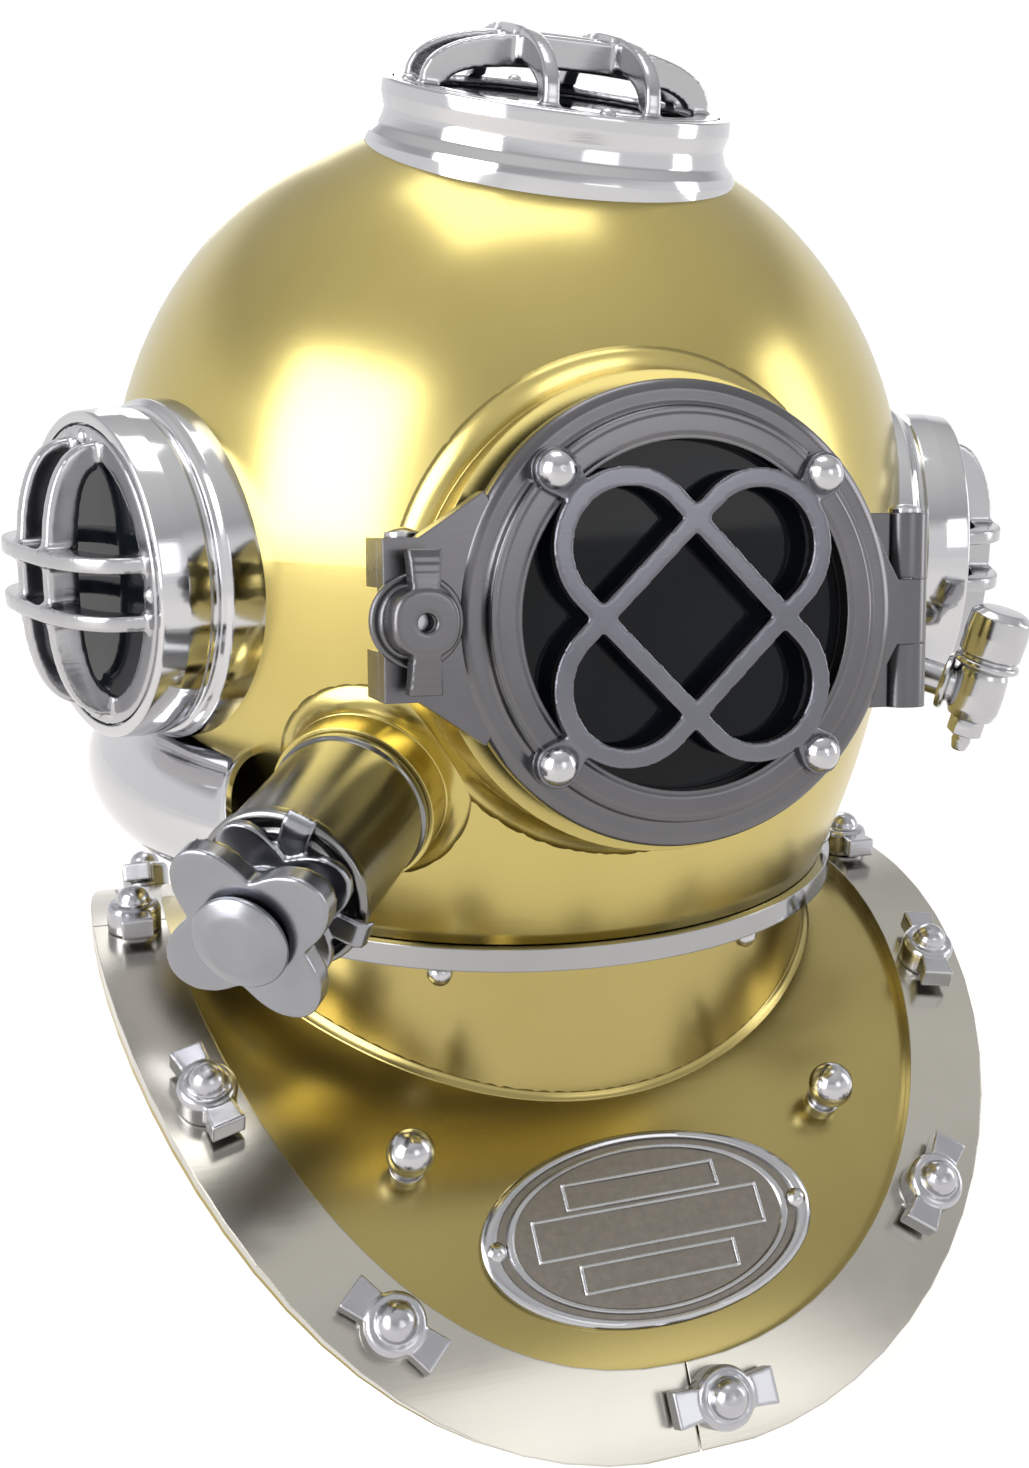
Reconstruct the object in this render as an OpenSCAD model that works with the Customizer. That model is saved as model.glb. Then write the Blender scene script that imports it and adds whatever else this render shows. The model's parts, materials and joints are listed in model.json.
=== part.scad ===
/* [Dome] */
// Outside radius of the dome
dome_r = 150; // [146:0.5:154]
// Height of the dome's centre above the neck opening
dome_z = 158.6; // [155:0.2:163]
// Outside radius of the dome where it meets the neck ring
dome_foot_r = 125; // [123:0.5:127]
// Wall thickness of the dome
dome_wall = 2.5; // [2:0.1:3]

/* [Neck joint] */
// Inside radius of the neck opening
neck_r = 102; // [95:0.5:105]
// Half height of the neck opening's wall, which the origin halves
neck_half_h = 6; // [5:0.5:8]
// Thickness of the leather neck gasket
neck_gasket_t = 2; // [1.5:0.1:3]
// Outside radius of the bonnet ring's spigot
spigot_r = 112; // [110:0.5:113]
// Outside radius of the breastplate's polished neck ring
ring_r = 129; // [127:0.5:132]
// Height of the neck ring's lower face above the neck opening
ring_z = 20; // [18:0.5:22]
// Height of the polished neck ring
ring_h = 8; // [6:0.5:10]
// How far the locking lugs stand out from the spigot
lug_out = 2.9; // [2:0.1:3]
// Height of a locking lug
lug_h = 6; // [4:0.5:6.5]
// Angle that one locking lug covers
lug_angle = 38; // [30:1:40]
// Radial clearance of the turning joint
turn_gap = 0.3; // [0.2:0.05:0.4]

/* [Breastplate] */
// Radius of the breastplate's curved plate, about its crosswise axis
plate_r = 232.5; // [228:0.5:236]
// Height of the plate's crown above the neck opening
plate_top_z = 0.5; // [-2:0.5:3]
// Wall thickness of the breastplate
plate_wall = 3; // [2.5:0.1:3.5]
// Outside radius of the breastplate's neck
collar_r = 119; // [118:0.5:121]
// Wall thickness of the breastplate's neck
collar_wall = 2.5; // [2:0.1:3]
// Half width of the rim from shoulder to shoulder
rim_half_w = 166; // [160:0.5:172]
// Half length of the rim from front to back, along the curved plate
rim_half_l = 245; // [240:0.5:250]
// Exponent of the rim's rounded outline, 2 is an ellipse
rim_power = 2.2; // [2.1:0.05:2.3]
// Depth from the neck opening to the level the helmet stands on
floor_depth = 113.5; // [111:0.5:114]

/* [Brails] */
// Width of a brail
brail_w = 27; // [25:0.5:29]
// Thickness of a brail
brail_t = 5.5; // [5:0.5:7]
// Gap between two brails' ends
brail_gap = 0.8; // [0.6:0.1:1.5]

/* [Studs and wing nuts] */
// Distance of the studs from the rim
stud_inset = 15; // [13:0.5:16]
// Radius of a stud
stud_r = 4.6; // [4:0.1:5]
// Clearance round a stud
stud_gap = 0.3; // [0.2:0.05:0.4]
// Radius of a wing nut's foot
nut_foot_r = 11; // [10:0.5:12]
// Height of a wing nut's foot
nut_foot_h = 2.6; // [2:0.1:3]
// Radius of a wing nut's hub
nut_hub_r = 8.6; // [8:0.1:9]
// Height of a wing nut
nut_h = 12; // [11:0.5:13]
// Reach of a wing from the stud's axis
wing_reach = 16.5; // [15:0.5:17]
// Width of a wing
wing_w = 9; // [8:0.5:10]
// Thickness of a wing
wing_t = 6; // [5:0.5:7]
// Height of a stud's domed end above the nut
stud_dome_h = 5; // [4:0.5:5.5]

/* [Plate and ball studs] */
// Half width of the oval name plate
oval_half_w = 58.5; // [55:0.5:62]
// Half height of the oval name plate, along the curved plate
oval_half_h = 32; // [30:0.5:34]
// Arc from the plate's top down to the name plate's middle
oval_arc = 174.5; // [170:0.5:178]
// Thickness of the name plate
oval_t = 2.6; // [2:0.1:3]
// Width of the name plate's raised border
oval_border = 3.5; // [3:0.5:5]
// Height of the name plate's raised border
oval_border_t = 1.2; // [0.8:0.1:1.6]
// Distance between the name plate's two rivets
oval_rivet_pitch = 107.4; // [104:0.2:108]
// Radius of a name plate rivet's head
oval_rivet_r = 3.6; // [3:0.1:4]
// Radius of a ball stud's ball
ball_r = 8; // [7:0.1:9]
// Half distance between the two ball studs
ball_x = 76.5; // [72:0.5:78]
// Arc from the plate's top down to the ball studs
ball_arc = 141.2; // [134:0.2:146]
// Height of a ball's centre above the plate
ball_h = 11.8; // [11:0.2:13]
// Radius of a neck set screw's domed head
set_screw_r = 4.3; // [4:0.1:5]
// Angle of the neck set screws from the front
set_screw_angle = 28.8; // [24:0.2:32]

/* [Front window] */
// How far the front window's face stands out of the dome
window_stand = 30.5; // [30:0.5:34]
// Height of the front window's centre above the neck opening
window_z = 149.3; // [147:0.1:152]
// Upward tilt of the front window
window_tilt = 7.4; // [6:0.2:8]
// Roll of the front window about its own axis
window_roll = 1.8; // [0:0.2:2.4]
// Radius of the front window's clear opening
window_r = 51.5; // [50:0.5:52.5]
// Outside radius of the brass boss on the dome
boss_r = 73; // [71:0.5:74]
// Depth from the window's face to the boss's front
boss_back = 20; // [19.5:0.5:22]
// Outside radius of the door's flange
door_r = 68; // [66:0.5:69]
// Depth from the window's face to the flange's front
bezel_h = 5; // [4:0.5:6]
// Depth from the window's face to the flange's back
door_back = 13; // [12.5:0.5:13.5]
// Outside radius of the raised bezel
bezel_r = 60.5; // [59:0.5:62]
// Running gap between the door and its seat
door_gap = 0.3; // [0.2:0.05:0.5]
// Thickness of the door's glass
door_glass_t = 5; // [4:0.5:5]

/* [Door guard] */
// Radius of the guard's four round loops
loop_r = 20.2; // [19:0.1:21]
// Distance of each loop's centre from the window's centre
loop_out = 28.7; // [28:0.1:29.5]
// Width of the guard's bars
guard_bar_w = 5.8; // [5:0.1:6.5]
// Thickness of the guard's bars
guard_bar_t = 4.4; // [4:0.1:5]
// Height of the guard's front above the window's face
guard_h = 4.5; // [4.5:0.1:6]
// Radius of the circle the guard's rivets stand on
guard_rivet_pitch_r = 59; // [58.5:0.5:60]
// Radius of a guard rivet's domed head
guard_rivet_r = 5.8; // [5:0.1:6.2]
// Thickness of the guard's feet
guard_foot_t = 3; // [2.5:0.1:3.5]

/* [Hinge and latch] */
// Distance of the hinge pin from the window's centre line
hinge_x = 79.5; // [79.5:0.5:81]
// Depth of the hinge pin behind the window's face
hinge_y = 16; // [15.5:0.25:16.5]
// Radius of the hinge knuckles
knuckle_r = 7.4; // [7:0.1:7.5]
// Half height of the whole hinge
hinge_half_h = 30.5; // [28:0.5:32]
// Half height of the door's middle knuckle
leaf_half_h = 10; // [9:0.1:11]
// Radius of the hinge and latch pins
pin_r = 3; // [2.5:0.1:3.2]
// Running clearance round the pins
pin_gap = 0.06; // [0.03:0.01:0.09]
// Distance of the latch pin from the window's centre line
latch_x = 81; // [81:0.5:82]
// Depth of the latch pin behind the window's face
latch_y = 21; // [21:0.25:21.5]
// Half height of the door's latch lug
lug_half_h = 23; // [21:0.5:24]
// How far the door's latch lug reaches from the centre line
lug_reach = 90; // [89:0.5:91]
// Radius of the swing bolt's eye
eye_r = 7; // [6.5:0.1:7.1]
// Radius of the swing bolt's shank
shank_r = 4; // [3.5:0.1:4]
// Length of the shank inside the latch nut
shank_in = 7; // [5:0.5:7]
// Radius of the latch nut's foot
latch_nut_r = 13.5; // [12.5:0.5:14]
// Height of the latch nut above the flange
latch_nut_h = 14.5; // [13:0.5:15]
// Reach of the latch nut's wings from its axis
latch_wing_reach = 20; // [19:0.5:21]

/* [Side and top windows] */
// Angle of the right window from the front
right_azimuth = 70.1; // [69:0.1:75]
// Angle of the left window from the front
left_azimuth = 73.5; // [69:0.1:75]
// Height of the right window's middle
right_z = 149; // [144:0.5:150]
// Height of the left window's middle
left_z = 146; // [144:0.5:150]
// How far the right window's rim stands out of the dome
right_stand = 21.9; // [18:0.1:23]
// How far the left window's rim stands out of the dome
left_stand = 18.3; // [17:0.1:23]
// Outside radius of the right window's ring
right_r = 53.3; // [51:0.1:55]
// Outside radius of the left window's ring
left_r = 51.5; // [50:0.1:55]
// Forward tilt of the top window
top_tilt = 12.4; // [11:0.2:14]
// Sideways lean of the top window
top_lean = 2.5; // [0:0.5:3]
// How far the top window's rim stands out of the dome
top_stand = 5.3; // [4:0.1:6]
// How far the top window's axis lies in front of the dome's centre
top_shift = 8.8; // [8:0.1:10]
// Sideways shift of the top window
top_side = 3.2; // [0:0.1:4]
// Outside radius of the top window's ring
top_r = 60.9; // [59:0.1:62]
// How far a ring's lower flange stands out
step_out = 3; // [2:0.5:4]
// Depth of a ring's step below its rim
step_depth = 18.7; // [18:0.1:20.5]
// Width of a ring's edge outside its guard
rim_edge = 3.7; // [3.5:0.1:4.5]
// Thickness of a cage guard's base plate
cage_plate_t = 3; // [2.5:0.1:3.5]
// Width of a cage guard's base plate
cage_plate_w = 8.4; // [8:0.1:9]
// Height of a cage guard's long blades
cage_h = 20; // [18:0.5:22]
// How much higher the crossing blades stand
cage_cross_rise = 2.5; // [1:0.5:4]
// Thickness of a cage guard's blades
blade_t = 5; // [4:0.1:5.5]
// Depth of a cage guard's blades at their middle
blade_depth = 12; // [10:0.5:13]
// Half distance between a side guard's long blades
side_long_pitch = 10.5; // [9:0.5:11]
// Half distance between a side guard's crossing blades
side_cross_pitch = 9; // [8.5:0.5:12]
// Half distance between the top guard's long blades
top_long_pitch = 11; // [10:0.5:13]
// Half distance between the top guard's crossing blades
top_cross_pitch = 17.5; // [15:0.5:18]
// Thickness of a side or top window's glass
light_glass_t = 6.5; // [5:0.5:7]
// Thickness of a window gasket
gasket_t = 1; // [0.8:0.1:1.2]
// Radius of a guard screw's head
guard_screw_r = 2.8; // [2.5:0.1:3]

/* [Exhaust valve] */
// Angle of the exhaust valve from the front
valve_azimuth = 35.3; // [34:0.1:38]
// Downward slope of the exhaust valve
valve_slope = 12.6; // [11:0.2:14]
// How far the exhaust valve's base lies inside the dome's radius
valve_root = 7.5; // [6:0.5:9]
// Height of the valve's foot above the neck opening
valve_z = 88; // [86:0.5:92]
// Radius of the brass boss under the valve
valve_boss_r = 27; // [26.5:0.5:28]
// Length of the brass boss
valve_boss_l = 15; // [13:0.5:17]
// Radius of the valve's body
valve_r = 24.7; // [23.5:0.1:25.5]
// Distance from the valve's foot to its open rim
valve_l = 66; // [64:0.5:67]
// Wall thickness of the valve's body
valve_wall = 3; // [2.5:0.1:3.5]
// Depth of the valve's open cup
cup_depth = 3; // [2.5:0.5:6]
// Radius of the exhaust handwheel at its lobes
wheel_r = 29; // [27:0.5:30]
// Radius of one lobe
lobe_r = 9; // [8:0.5:9.5]
// Thickness of the handwheel
wheel_t = 6; // [5:0.5:7]
// Distance from the valve's foot to the handwheel's front
wheel_front = 89; // [88:0.5:90]
// Radius of the handwheel's hub
wheel_hub_r = 14; // [13:0.5:15]
// Length of the claws over the valve's body
claw_l = 26; // [22:0.5:28]
// Radius of the stem's round end button
button_r = 14; // [13:0.5:15]
// Thickness of the end button
button_t = 4; // [3:0.5:5]
// Radius of the valve stem
stem_r = 3.5; // [3:0.1:4]
// Travel of the valve stem each way
stem_travel = 2; // [1:0.5:2.5]

/* [Exhaust duct] */
// Radius of the exhaust duct's section
duct_r = 24; // [22:0.5:24.5]
// Wall thickness of the exhaust duct
duct_wall = 2.5; // [2:0.1:3]
// How far the duct's own centre line lies inside the dome's radius
duct_root = 10; // [8:0.5:12]
// Height of the duct's centre above the neck opening
duct_z = 69; // [67:0.5:70]
// Angle from the front where the duct starts
duct_from = 50; // [49:1:54]
// Angle from the front where the duct ends
duct_to = 128; // [120:1:136]

/* [Drain cock] */
// Angle of the drain cock from the front
cock_azimuth = 50; // [46:1:51]
// Height of the drain cock above the neck opening
cock_z = 103.5; // [100:0.5:105]
// Outward lean of the drain cock
cock_tilt = 14; // [8:1:16]
// How far the drain cock's axis stands out of the dome's radius
cock_stand = 33; // [31:0.5:35]
// Radius of the cock's stem
cock_stem_r = 6; // [5.5:0.1:6.5]
// Radius of the cock's round body
cock_body_r = 9; // [8.5:0.1:9.5]
// Half height of the cock's round body
cock_half_h = 9.5; // [9:0.1:11]
// Radius of the cock's cap
cock_cap_r = 11.2; // [10:0.1:11.5]
// Height of the cock's cap
cock_cap_h = 20; // [18:0.5:21]
// Radius of the plug inside the cock's body
cock_plug_r = 4.5; // [4:0.1:5]

/* [Rear fittings] */
// Angle of each rear elbow from straight back
elbow_azimuth = 27; // [25:0.5:30]
// Height of the rear elbows above the neck opening
elbow_z = 128; // [124:0.5:132]
// Outside radius of the air elbow's tube
air_tube_r = 12; // [11:0.5:12.5]
// Radius of the air elbow's threaded end
air_thread_r = 14; // [13.5:0.1:14.5]
// Length of the threaded ends
thread_l = 15; // [13:0.5:16]
// Bore radius of the air elbow
air_bore_r = 8; // [7:0.5:9]
// Outside radius of the telephone elbow's tube
phone_tube_r = 10; // [9:0.5:10.5]
// Radius of the telephone elbow's threaded end
phone_thread_r = 12; // [11.5:0.1:12.5]
// Bore radius of the telephone elbow
phone_bore_r = 6; // [5:0.5:7]
// Bend radius of the rear elbows
elbow_bend = 26; // [25:0.5:28]
// Radius of the elbows' foot flanges
elbow_foot_r = 22; // [20:0.5:23]
// Length of the safety lock's lever
lock_l = 24; // [22:0.5:26]
// Width of the safety lock's lever
lock_w = 10; // [8:0.5:12]

/* [Hidden] */
$fn = 96;

brass = "#c9a94f";
bright = "#d8d9dc";
nickel = "#8d8a8c";
bronze = "#7d7061";
far = 600;
fine = 0.3;
quarter = 90;
seat_gap = 0.05;
nut_clear = 0.08;

// Levels of the neck joint
seat_z = neck_half_h;
gasket_top = seat_z + neck_gasket_t;
ring_top = ring_z + ring_h;
foot_z = ring_top + turn_gap;
sleeve_r = collar_r - collar_wall;
sleeve_fit = 0.1;
gasket_inset = 4;
lug_z = gasket_top + 1;
lug_r = spigot_r + lug_out;
groove_top = lug_z + lug_h + turn_gap;
flange_h = 8;

// Where the dome's own fittings stand
window_y = dome_r + window_stand;
valve_base_r = dome_r - valve_root;
cock_r = dome_r + cock_stand;
cock_root = 14;

// The dome's profile: a round top, and a flank that draws in to the foot
flank_drop = dome_z - foot_z;
flank_in = dome_r - dome_foot_r;
flank_r = (flank_drop * flank_drop + flank_in * flank_in) / (2 * flank_in);

// The breastplate's curved plate lies about a crosswise axis
plate_axis_z = plate_top_z - plate_r;
plate_in_r = plate_r - plate_wall;
brail_top_r = plate_r + brail_t;
oval_angle = oval_arc / plate_r * 180 / PI;
ball_angle = ball_arc / plate_r * 180 / PI;
rim_steps = 20;
stud_turns = [2.3, -35.2, -64.1, -89, -114, -144, 180, 144, 114, 89.4, 69.2, 40.1];
stud_head_r = 5;
stud_head_h = 2;
nut_gap = 0.1;

// Where a point of the rim lies: x across, and an angle round the plate's axis
function rim_x(turn, inset) = (rim_half_w - inset) * pow(abs(sin(turn)), 2 / rim_power);
function rim_angle(turn, inset) =
    (rim_half_l - inset) * pow(abs(cos(turn)), 2 / rim_power) / plate_r * 180 / PI;
function rim_heading(turn) =
    let (p = 2 - 2 / rim_power) atan2(rim_half_l * pow(abs(sin(turn)), p), rim_half_w * pow(abs(cos(turn)), p));
function rim_point(turn, inset, r) =
    let (a = rim_angle(turn, inset)) [rim_x(turn, inset), -r * sin(a), plate_axis_z + r * cos(a)];

// Moves to the top of the plate at an angle down its front, z outwards
module on_plate(x, angle, r) {
    translate([x, 0, plate_axis_z]) rotate([angle, 0, 0]) translate([0, 0, r]) children();
}

module crosswise_cylinder(r) {
    translate([-far / 2, 0, plate_axis_z]) rotate([0, 90, 0]) cylinder(r = r, h = far, $fn = 180);
}

module above_floor() {
    translate([-far / 2, -far / 2, -floor_depth]) cube([far, far, far]);
}

// Moves to a stud by its number, counted round the rim from the front over the wearer's right
module on_stud(number, r) {
    turn = stud_turns[number];
    side = turn < 0 ? -1 : 1;
    back = abs(turn) > quarter ? -1 : 1;
    on_plate(side * rim_x(turn, stud_inset), back * rim_angle(turn, stud_inset), r)
        rotate([0, 0, side * back * rim_heading(turn)]) children();
}

// Breastplate
module rim_outline(inset) {
    polygon([for (k = [0 : 4 * rim_steps - 1])
        let (turn = k * quarter / rim_steps, p = rim_point(turn, inset, plate_in_r))
        [sign(sin(turn)) * p[0], sign(cos(turn)) * abs(p[1])]]);
}

module breastplate_shell() {
    color(brass) difference() {
        union() {
            intersection() {
                difference() {
                    crosswise_cylinder(plate_r);
                    crosswise_cylinder(plate_in_r);
                }
                translate([0, 0, -floor_depth]) linear_extrude(far) rim_outline(0);
            }
            difference() {
                translate([0, 0, -floor_depth]) cylinder(r = collar_r, h = floor_depth + ring_z);
                crosswise_cylinder(plate_in_r);
            }
        }
        translate([0, 0, -floor_depth]) cylinder(r = sleeve_r, h = far);
        for (number = [0 : 11]) on_stud(number, plate_in_r - 2) cylinder(r = stud_r + stud_gap, h = 2 * plate_wall);
    }
}

module locking_sector(r, middle, spread, z, h) {
    rotate([0, 0, middle - spread / 2]) translate([0, 0, z]) rotate_extrude(angle = spread)
        translate([spigot_r - 4, 0]) square([r - spigot_r + 4, h]);
}

module breastplate_ring() {
    slot_r = lug_r + turn_gap;
    slot_spread = lug_angle + 4;
    color(bright) rotate([0, 0, quarter / 2]) difference() {
        union() {
            translate([0, 0, ring_z]) cylinder(r = ring_r, h = ring_h);
            translate([0, 0, -neck_half_h]) cylinder(r = sleeve_r - sleeve_fit, h = ring_z + neck_half_h);
        }
        translate([0, 0, -neck_half_h - 1]) cylinder(r = neck_r, h = far);
        translate([0, 0, seat_z]) cylinder(r = spigot_r + turn_gap, h = far);
        translate([0, 0, lug_z - turn_gap]) cylinder(r = slot_r, h = groove_top - lug_z + turn_gap);
        for (k = [0 : 3]) locking_sector(slot_r + seat_gap, (k + 0.5) * quarter, slot_spread, groove_top - 1, far);
    }
}

module neck_gasket() {
    color("#5a3a24") translate([0, 0, seat_z]) difference() {
        cylinder(r = spigot_r - turn_gap, h = neck_gasket_t);
        translate([0, 0, -1]) cylinder(r = neck_r + gasket_inset, h = neck_gasket_t + 2);
    }
}

// One brail's plan, from the front middle to the wearer's left shoulder, cut through the curved plate
module brail_body() {
    spare = 6;
    first = asin(pow(brail_gap / 2 / rim_half_w, rim_power / 2));
    last = acos(pow(brail_gap / 2 / rim_half_l, rim_power / 2));
    corners = [[0, plate_r - spare], [0, brail_top_r + spare], [brail_w, brail_top_r + spare], [brail_w, plate_r - spare]];
    points = [for (k = [0 : rim_steps]) for (c = corners)
        rim_point(first + (last - first) * k / rim_steps, c[0], c[1])];
    sides = [for (k = [0 : rim_steps - 1]) for (c = [0 : 3]) for (half = [0, 1])
        let (a = 4 * k + c, b = 4 * k + (c + 1) % 4)
        half == 0 ? [a, b, b + 4] : [a, b + 4, a + 4]];
    end = 4 * rim_steps;
    polyhedron(points, concat([[0, 2, 1], [0, 3, 2], [end, end + 1, end + 2], [end, end + 2, end + 3]], sides));
}

module brail(across, back) {
    color(bright) difference() {
        intersection() {
            mirror([across, 0, 0]) mirror([0, back, 0]) brail_body();
            above_floor();
            crosswise_cylinder(brail_top_r);
        }
        crosswise_cylinder(plate_r + seat_gap);
        for (number = [0 : 11]) on_stud(number, plate_r - 2) cylinder(r = stud_r + stud_gap, h = brail_t + 4);
    }
}

module front_left_brail() { brail(0, 0); }
module front_right_brail() { brail(1, 0); }
module rear_left_brail() { brail(0, 1); }
module rear_right_brail() { brail(1, 1); }

module dome_cap(r, h) {
    cap_r = (r * r + h * h) / (2 * h);
    intersection() {
        translate([0, 0, h - cap_r]) sphere(r = cap_r);
        cylinder(r = r + 1, h = h + 1);
    }
}

module brail_studs() {
    top = brail_top_r + nut_gap + nut_h;
    color(bright) for (number = [0 : 11]) {
        on_stud(number, plate_in_r - fine - stud_head_h) cylinder(r = stud_head_r, h = stud_head_h);
        on_stud(number, plate_in_r - 1) cylinder(r = stud_r, h = top - plate_in_r + 1);
        on_stud(number, top - 0.2) dome_cap(stud_r - 0.1, stud_dome_h - 1);
    }
}

// A wing nut stands on z = 0 with its wings along x
module wing_nut_body() {
    difference() {
        union() {
            cylinder(r = nut_foot_r, h = nut_foot_h);
            cylinder(r = nut_hub_r, h = nut_h);
            for (side = [-1, 1]) translate([side * (wing_reach + nut_hub_r) / 2, 0, nut_h - wing_t])
                rotate([90, 0, 0]) translate([0, wing_t / 2, -wing_w / 2])
                    linear_extrude(wing_w) square([wing_reach - nut_hub_r + 3, wing_t], center = true);
        }
        translate([0, 0, -1]) cylinder(r = stud_r + nut_clear, h = nut_h + 2);
        for (side = [-1, 1]) translate([side * wing_reach, 0, nut_h]) rotate([0, side * 35, 0])
            cube([8, wing_w + 2, 4], center = true);
    }
}

module wing_nut(number) {
    color(bright) on_stud(number - 1, brail_top_r + nut_gap) wing_nut_body();
}

module oval(scale_by, half_w, half_h) {
    polygon([for (k = [0 : 47]) scale_by * [half_w * cos(k * 7.5), half_h * sin(k * 7.5)]]);
}

module oval_prism(inset) {
    on_plate(0, oval_angle, 0) linear_extrude(far)
        oval(1, oval_half_w - inset, oval_half_h - inset);
}

module name_plate() {
    color(bronze) difference() {
        intersection() {
            difference() {
                crosswise_cylinder(plate_r + oval_t + oval_border_t);
                crosswise_cylinder(plate_r + seat_gap);
            }
            oval_prism(0);
        }
        intersection() {
            difference() {
                crosswise_cylinder(plate_r + oval_t + oval_border_t + 1);
                crosswise_cylinder(plate_r + oval_t);
            }
            oval_prism(oval_border);
        }
        for (side = [-1, 1]) on_plate(side * oval_rivet_pitch / 2, oval_angle, plate_r - 2)
            cylinder(r = oval_rivet_r, h = 20);
    }
}

module plate_rivets() {
    color(bright) for (side = [-1, 1]) difference() {
        on_plate(side * oval_rivet_pitch / 2, oval_angle, plate_r) {
            translate([0, 0, -1]) cylinder(r = oval_rivet_r - 0.05, h = oval_t + 1.2);
            translate([0, 0, oval_t + 0.2]) dome_cap(oval_rivet_r - 0.05, 2.2);
        }
        crosswise_cylinder(plate_r + seat_gap);
    }
}

module ball_studs() {
    foot_r = 6;
    color(bright) for (side = [-1, 1]) difference() {
        on_plate(side * ball_x, ball_angle, plate_r) {
            translate([0, 0, -1]) cylinder(r = foot_r, h = 3.5);
            cylinder(r = foot_r * 0.7, h = ball_h);
            translate([0, 0, ball_h]) sphere(r = ball_r);
        }
        crosswise_cylinder(plate_r + seat_gap);
    }
}

module neck_screws() {
    color(bright) for (side = [-1, 1]) for (back = [0, 1]) rotate([0, 0, back * 180 + side * set_screw_angle])
        translate([0, -collar_r - seat_gap, ring_z - set_screw_r - 1]) rotate([90, 0, 0]) {
            cylinder(r = set_screw_r, h = 1.2);
            translate([0, 0, 1.2]) dome_cap(set_screw_r, 2.8);
        }
}

// Safety lock at the back of the neck ring
lock_pin_r = 2.5;
lock_pin_y = ring_r + 8;
lock_cheek = 3;
lock_pin_z = ring_z + ring_h / 2;

module lock_bracket() {
    color(bright) difference() {
        union() {
            for (side = [-1, 1]) translate([side * (lock_w / 2 + fine + lock_cheek / 2), ring_r + 5.2, lock_pin_z])
                cube([lock_cheek, 14, ring_h], center = true);
            translate([-(lock_w / 2 + fine + lock_cheek), ring_r - 2, ring_z])
                cube([lock_w + 2 * (fine + lock_cheek), 4, ring_h]);
            translate([-lock_w / 2 - fine - lock_cheek, lock_pin_y, lock_pin_z])
                rotate([0, 90, 0]) cylinder(r = lock_pin_r, h = lock_w + 2 * (fine + lock_cheek));
        }
        translate([0, 0, ring_z - 1]) cylinder(r = ring_r, h = ring_h + 2);
    }
}

module lock_lever() {
    eye = ring_h / 2;
    color(bright) translate([0, lock_pin_y, lock_pin_z]) difference() {
        union() {
            translate([-lock_w / 2, 0, 0]) rotate([0, 90, 0]) cylinder(r = eye, h = lock_w);
            translate([-lock_w / 2, -eye / 2, -lock_l]) cube([lock_w, eye, lock_l]);
            translate([-lock_w / 2, 0, -lock_l]) rotate([0, 90, 0]) cylinder(r = eye, h = lock_w);
        }
        translate([-lock_w, 0, 0]) rotate([0, 90, 0]) cylinder(r = lock_pin_r + pin_gap, h = 2 * lock_w);
    }
}

// Bonnet
module dome_profile(inset) {
    intersection() {
        translate([0, dome_z]) circle(r = dome_r - inset, $fn = 180);
        translate([0, dome_z]) square(dome_r);
    }
    intersection() {
        translate([dome_r - flank_r, dome_z]) circle(r = flank_r - inset, $fn = 360);
        translate([0, foot_z]) square([dome_r, flank_drop]);
    }
}

module dome_solid(inset) {
    rotate_extrude($fn = 180) dome_profile(inset);
}

// The front window's own frame: x across, z up, and y back from the window's face
module window_frame() {
    translate([0, -window_y, window_z]) rotate([-window_tilt, 0, 0]) rotate([0, window_roll, 0]) children();
}

// Stands a shape on a plane at some depth behind the window's face, growing towards the front
module window_plane(depth) {
    translate([0, depth, 0]) rotate([90, 0, 0]) children();
}

module right_frame() {
    translate([0, 0, right_z]) rotate([0, 0, -right_azimuth]) rotate([90, 0, 0]) children();
}

module left_frame() {
    translate([0, 0, left_z]) rotate([0, 0, left_azimuth]) rotate([90, 0, 0]) children();
}

module top_frame() {
    translate([0, 0, dome_z]) rotate([top_tilt, 0, 0]) rotate([0, top_lean, 0])
        translate([-top_side, -top_shift, 0]) children();
}

module valve_frame() {
    translate([-valve_base_r * sin(valve_azimuth), -valve_base_r * cos(valve_azimuth), valve_z])
        rotate([0, 0, -valve_azimuth]) rotate([quarter + valve_slope, 0, 0]) children();
}

module cock_frame() {
    rotate([0, 0, cock_azimuth]) translate([0, -cock_r, cock_z]) rotate([cock_tilt, 0, 0]) children();
}

module elbow_frame(side) {
    rotate([0, 0, 180 + side * elbow_azimuth]) translate([0, 0, elbow_z]) rotate([90, 0, 0]) children();
}

light_bore_in = 11;
right_rim = dome_r + right_stand;
left_rim = dome_r + left_stand;
top_rim = dome_r + top_stand;
side_cross_in = 6;
top_cross_in = 8.5;
elbow_root = 40;
elbow_reach = dome_r + 8;
elbow_inside = dome_r - elbow_root;
elbow_turn = 75;
socket_wall = 1.5;
pin_fit = 0.02;
valve_bore_r = 14;

module bonnet_shell() {
    color(brass) difference() {
        union() {
            dome_solid(0);
            window_frame() window_plane(window_y) cylinder(r = boss_r, h = window_y - boss_back);
            valve_frame() translate([0, 0, -20]) cylinder(r = valve_boss_r, h = valve_boss_l + 20);
        }
        dome_solid(dome_wall);
        translate([0, 0, foot_z - far]) cylinder(r = far, h = far);
        window_frame() window_plane(window_y / 2) cylinder(r = window_r, h = far);
        right_frame() cylinder(r = right_r - light_bore_in, h = far);
        left_frame() cylinder(r = left_r - light_bore_in, h = far);
        top_frame() cylinder(r = top_r - light_bore_in, h = far);
        valve_frame() translate([0, 0, -30]) cylinder(r = valve_bore_r, h = far);
        cock_frame() rotate([-90, 0, 0]) cylinder(r = 3, h = cock_r / 2);
        elbow_frame(-1) cylinder(r = air_bore_r, h = far);
        elbow_frame(1) cylinder(r = phone_bore_r, h = far);
    }
}

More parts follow.
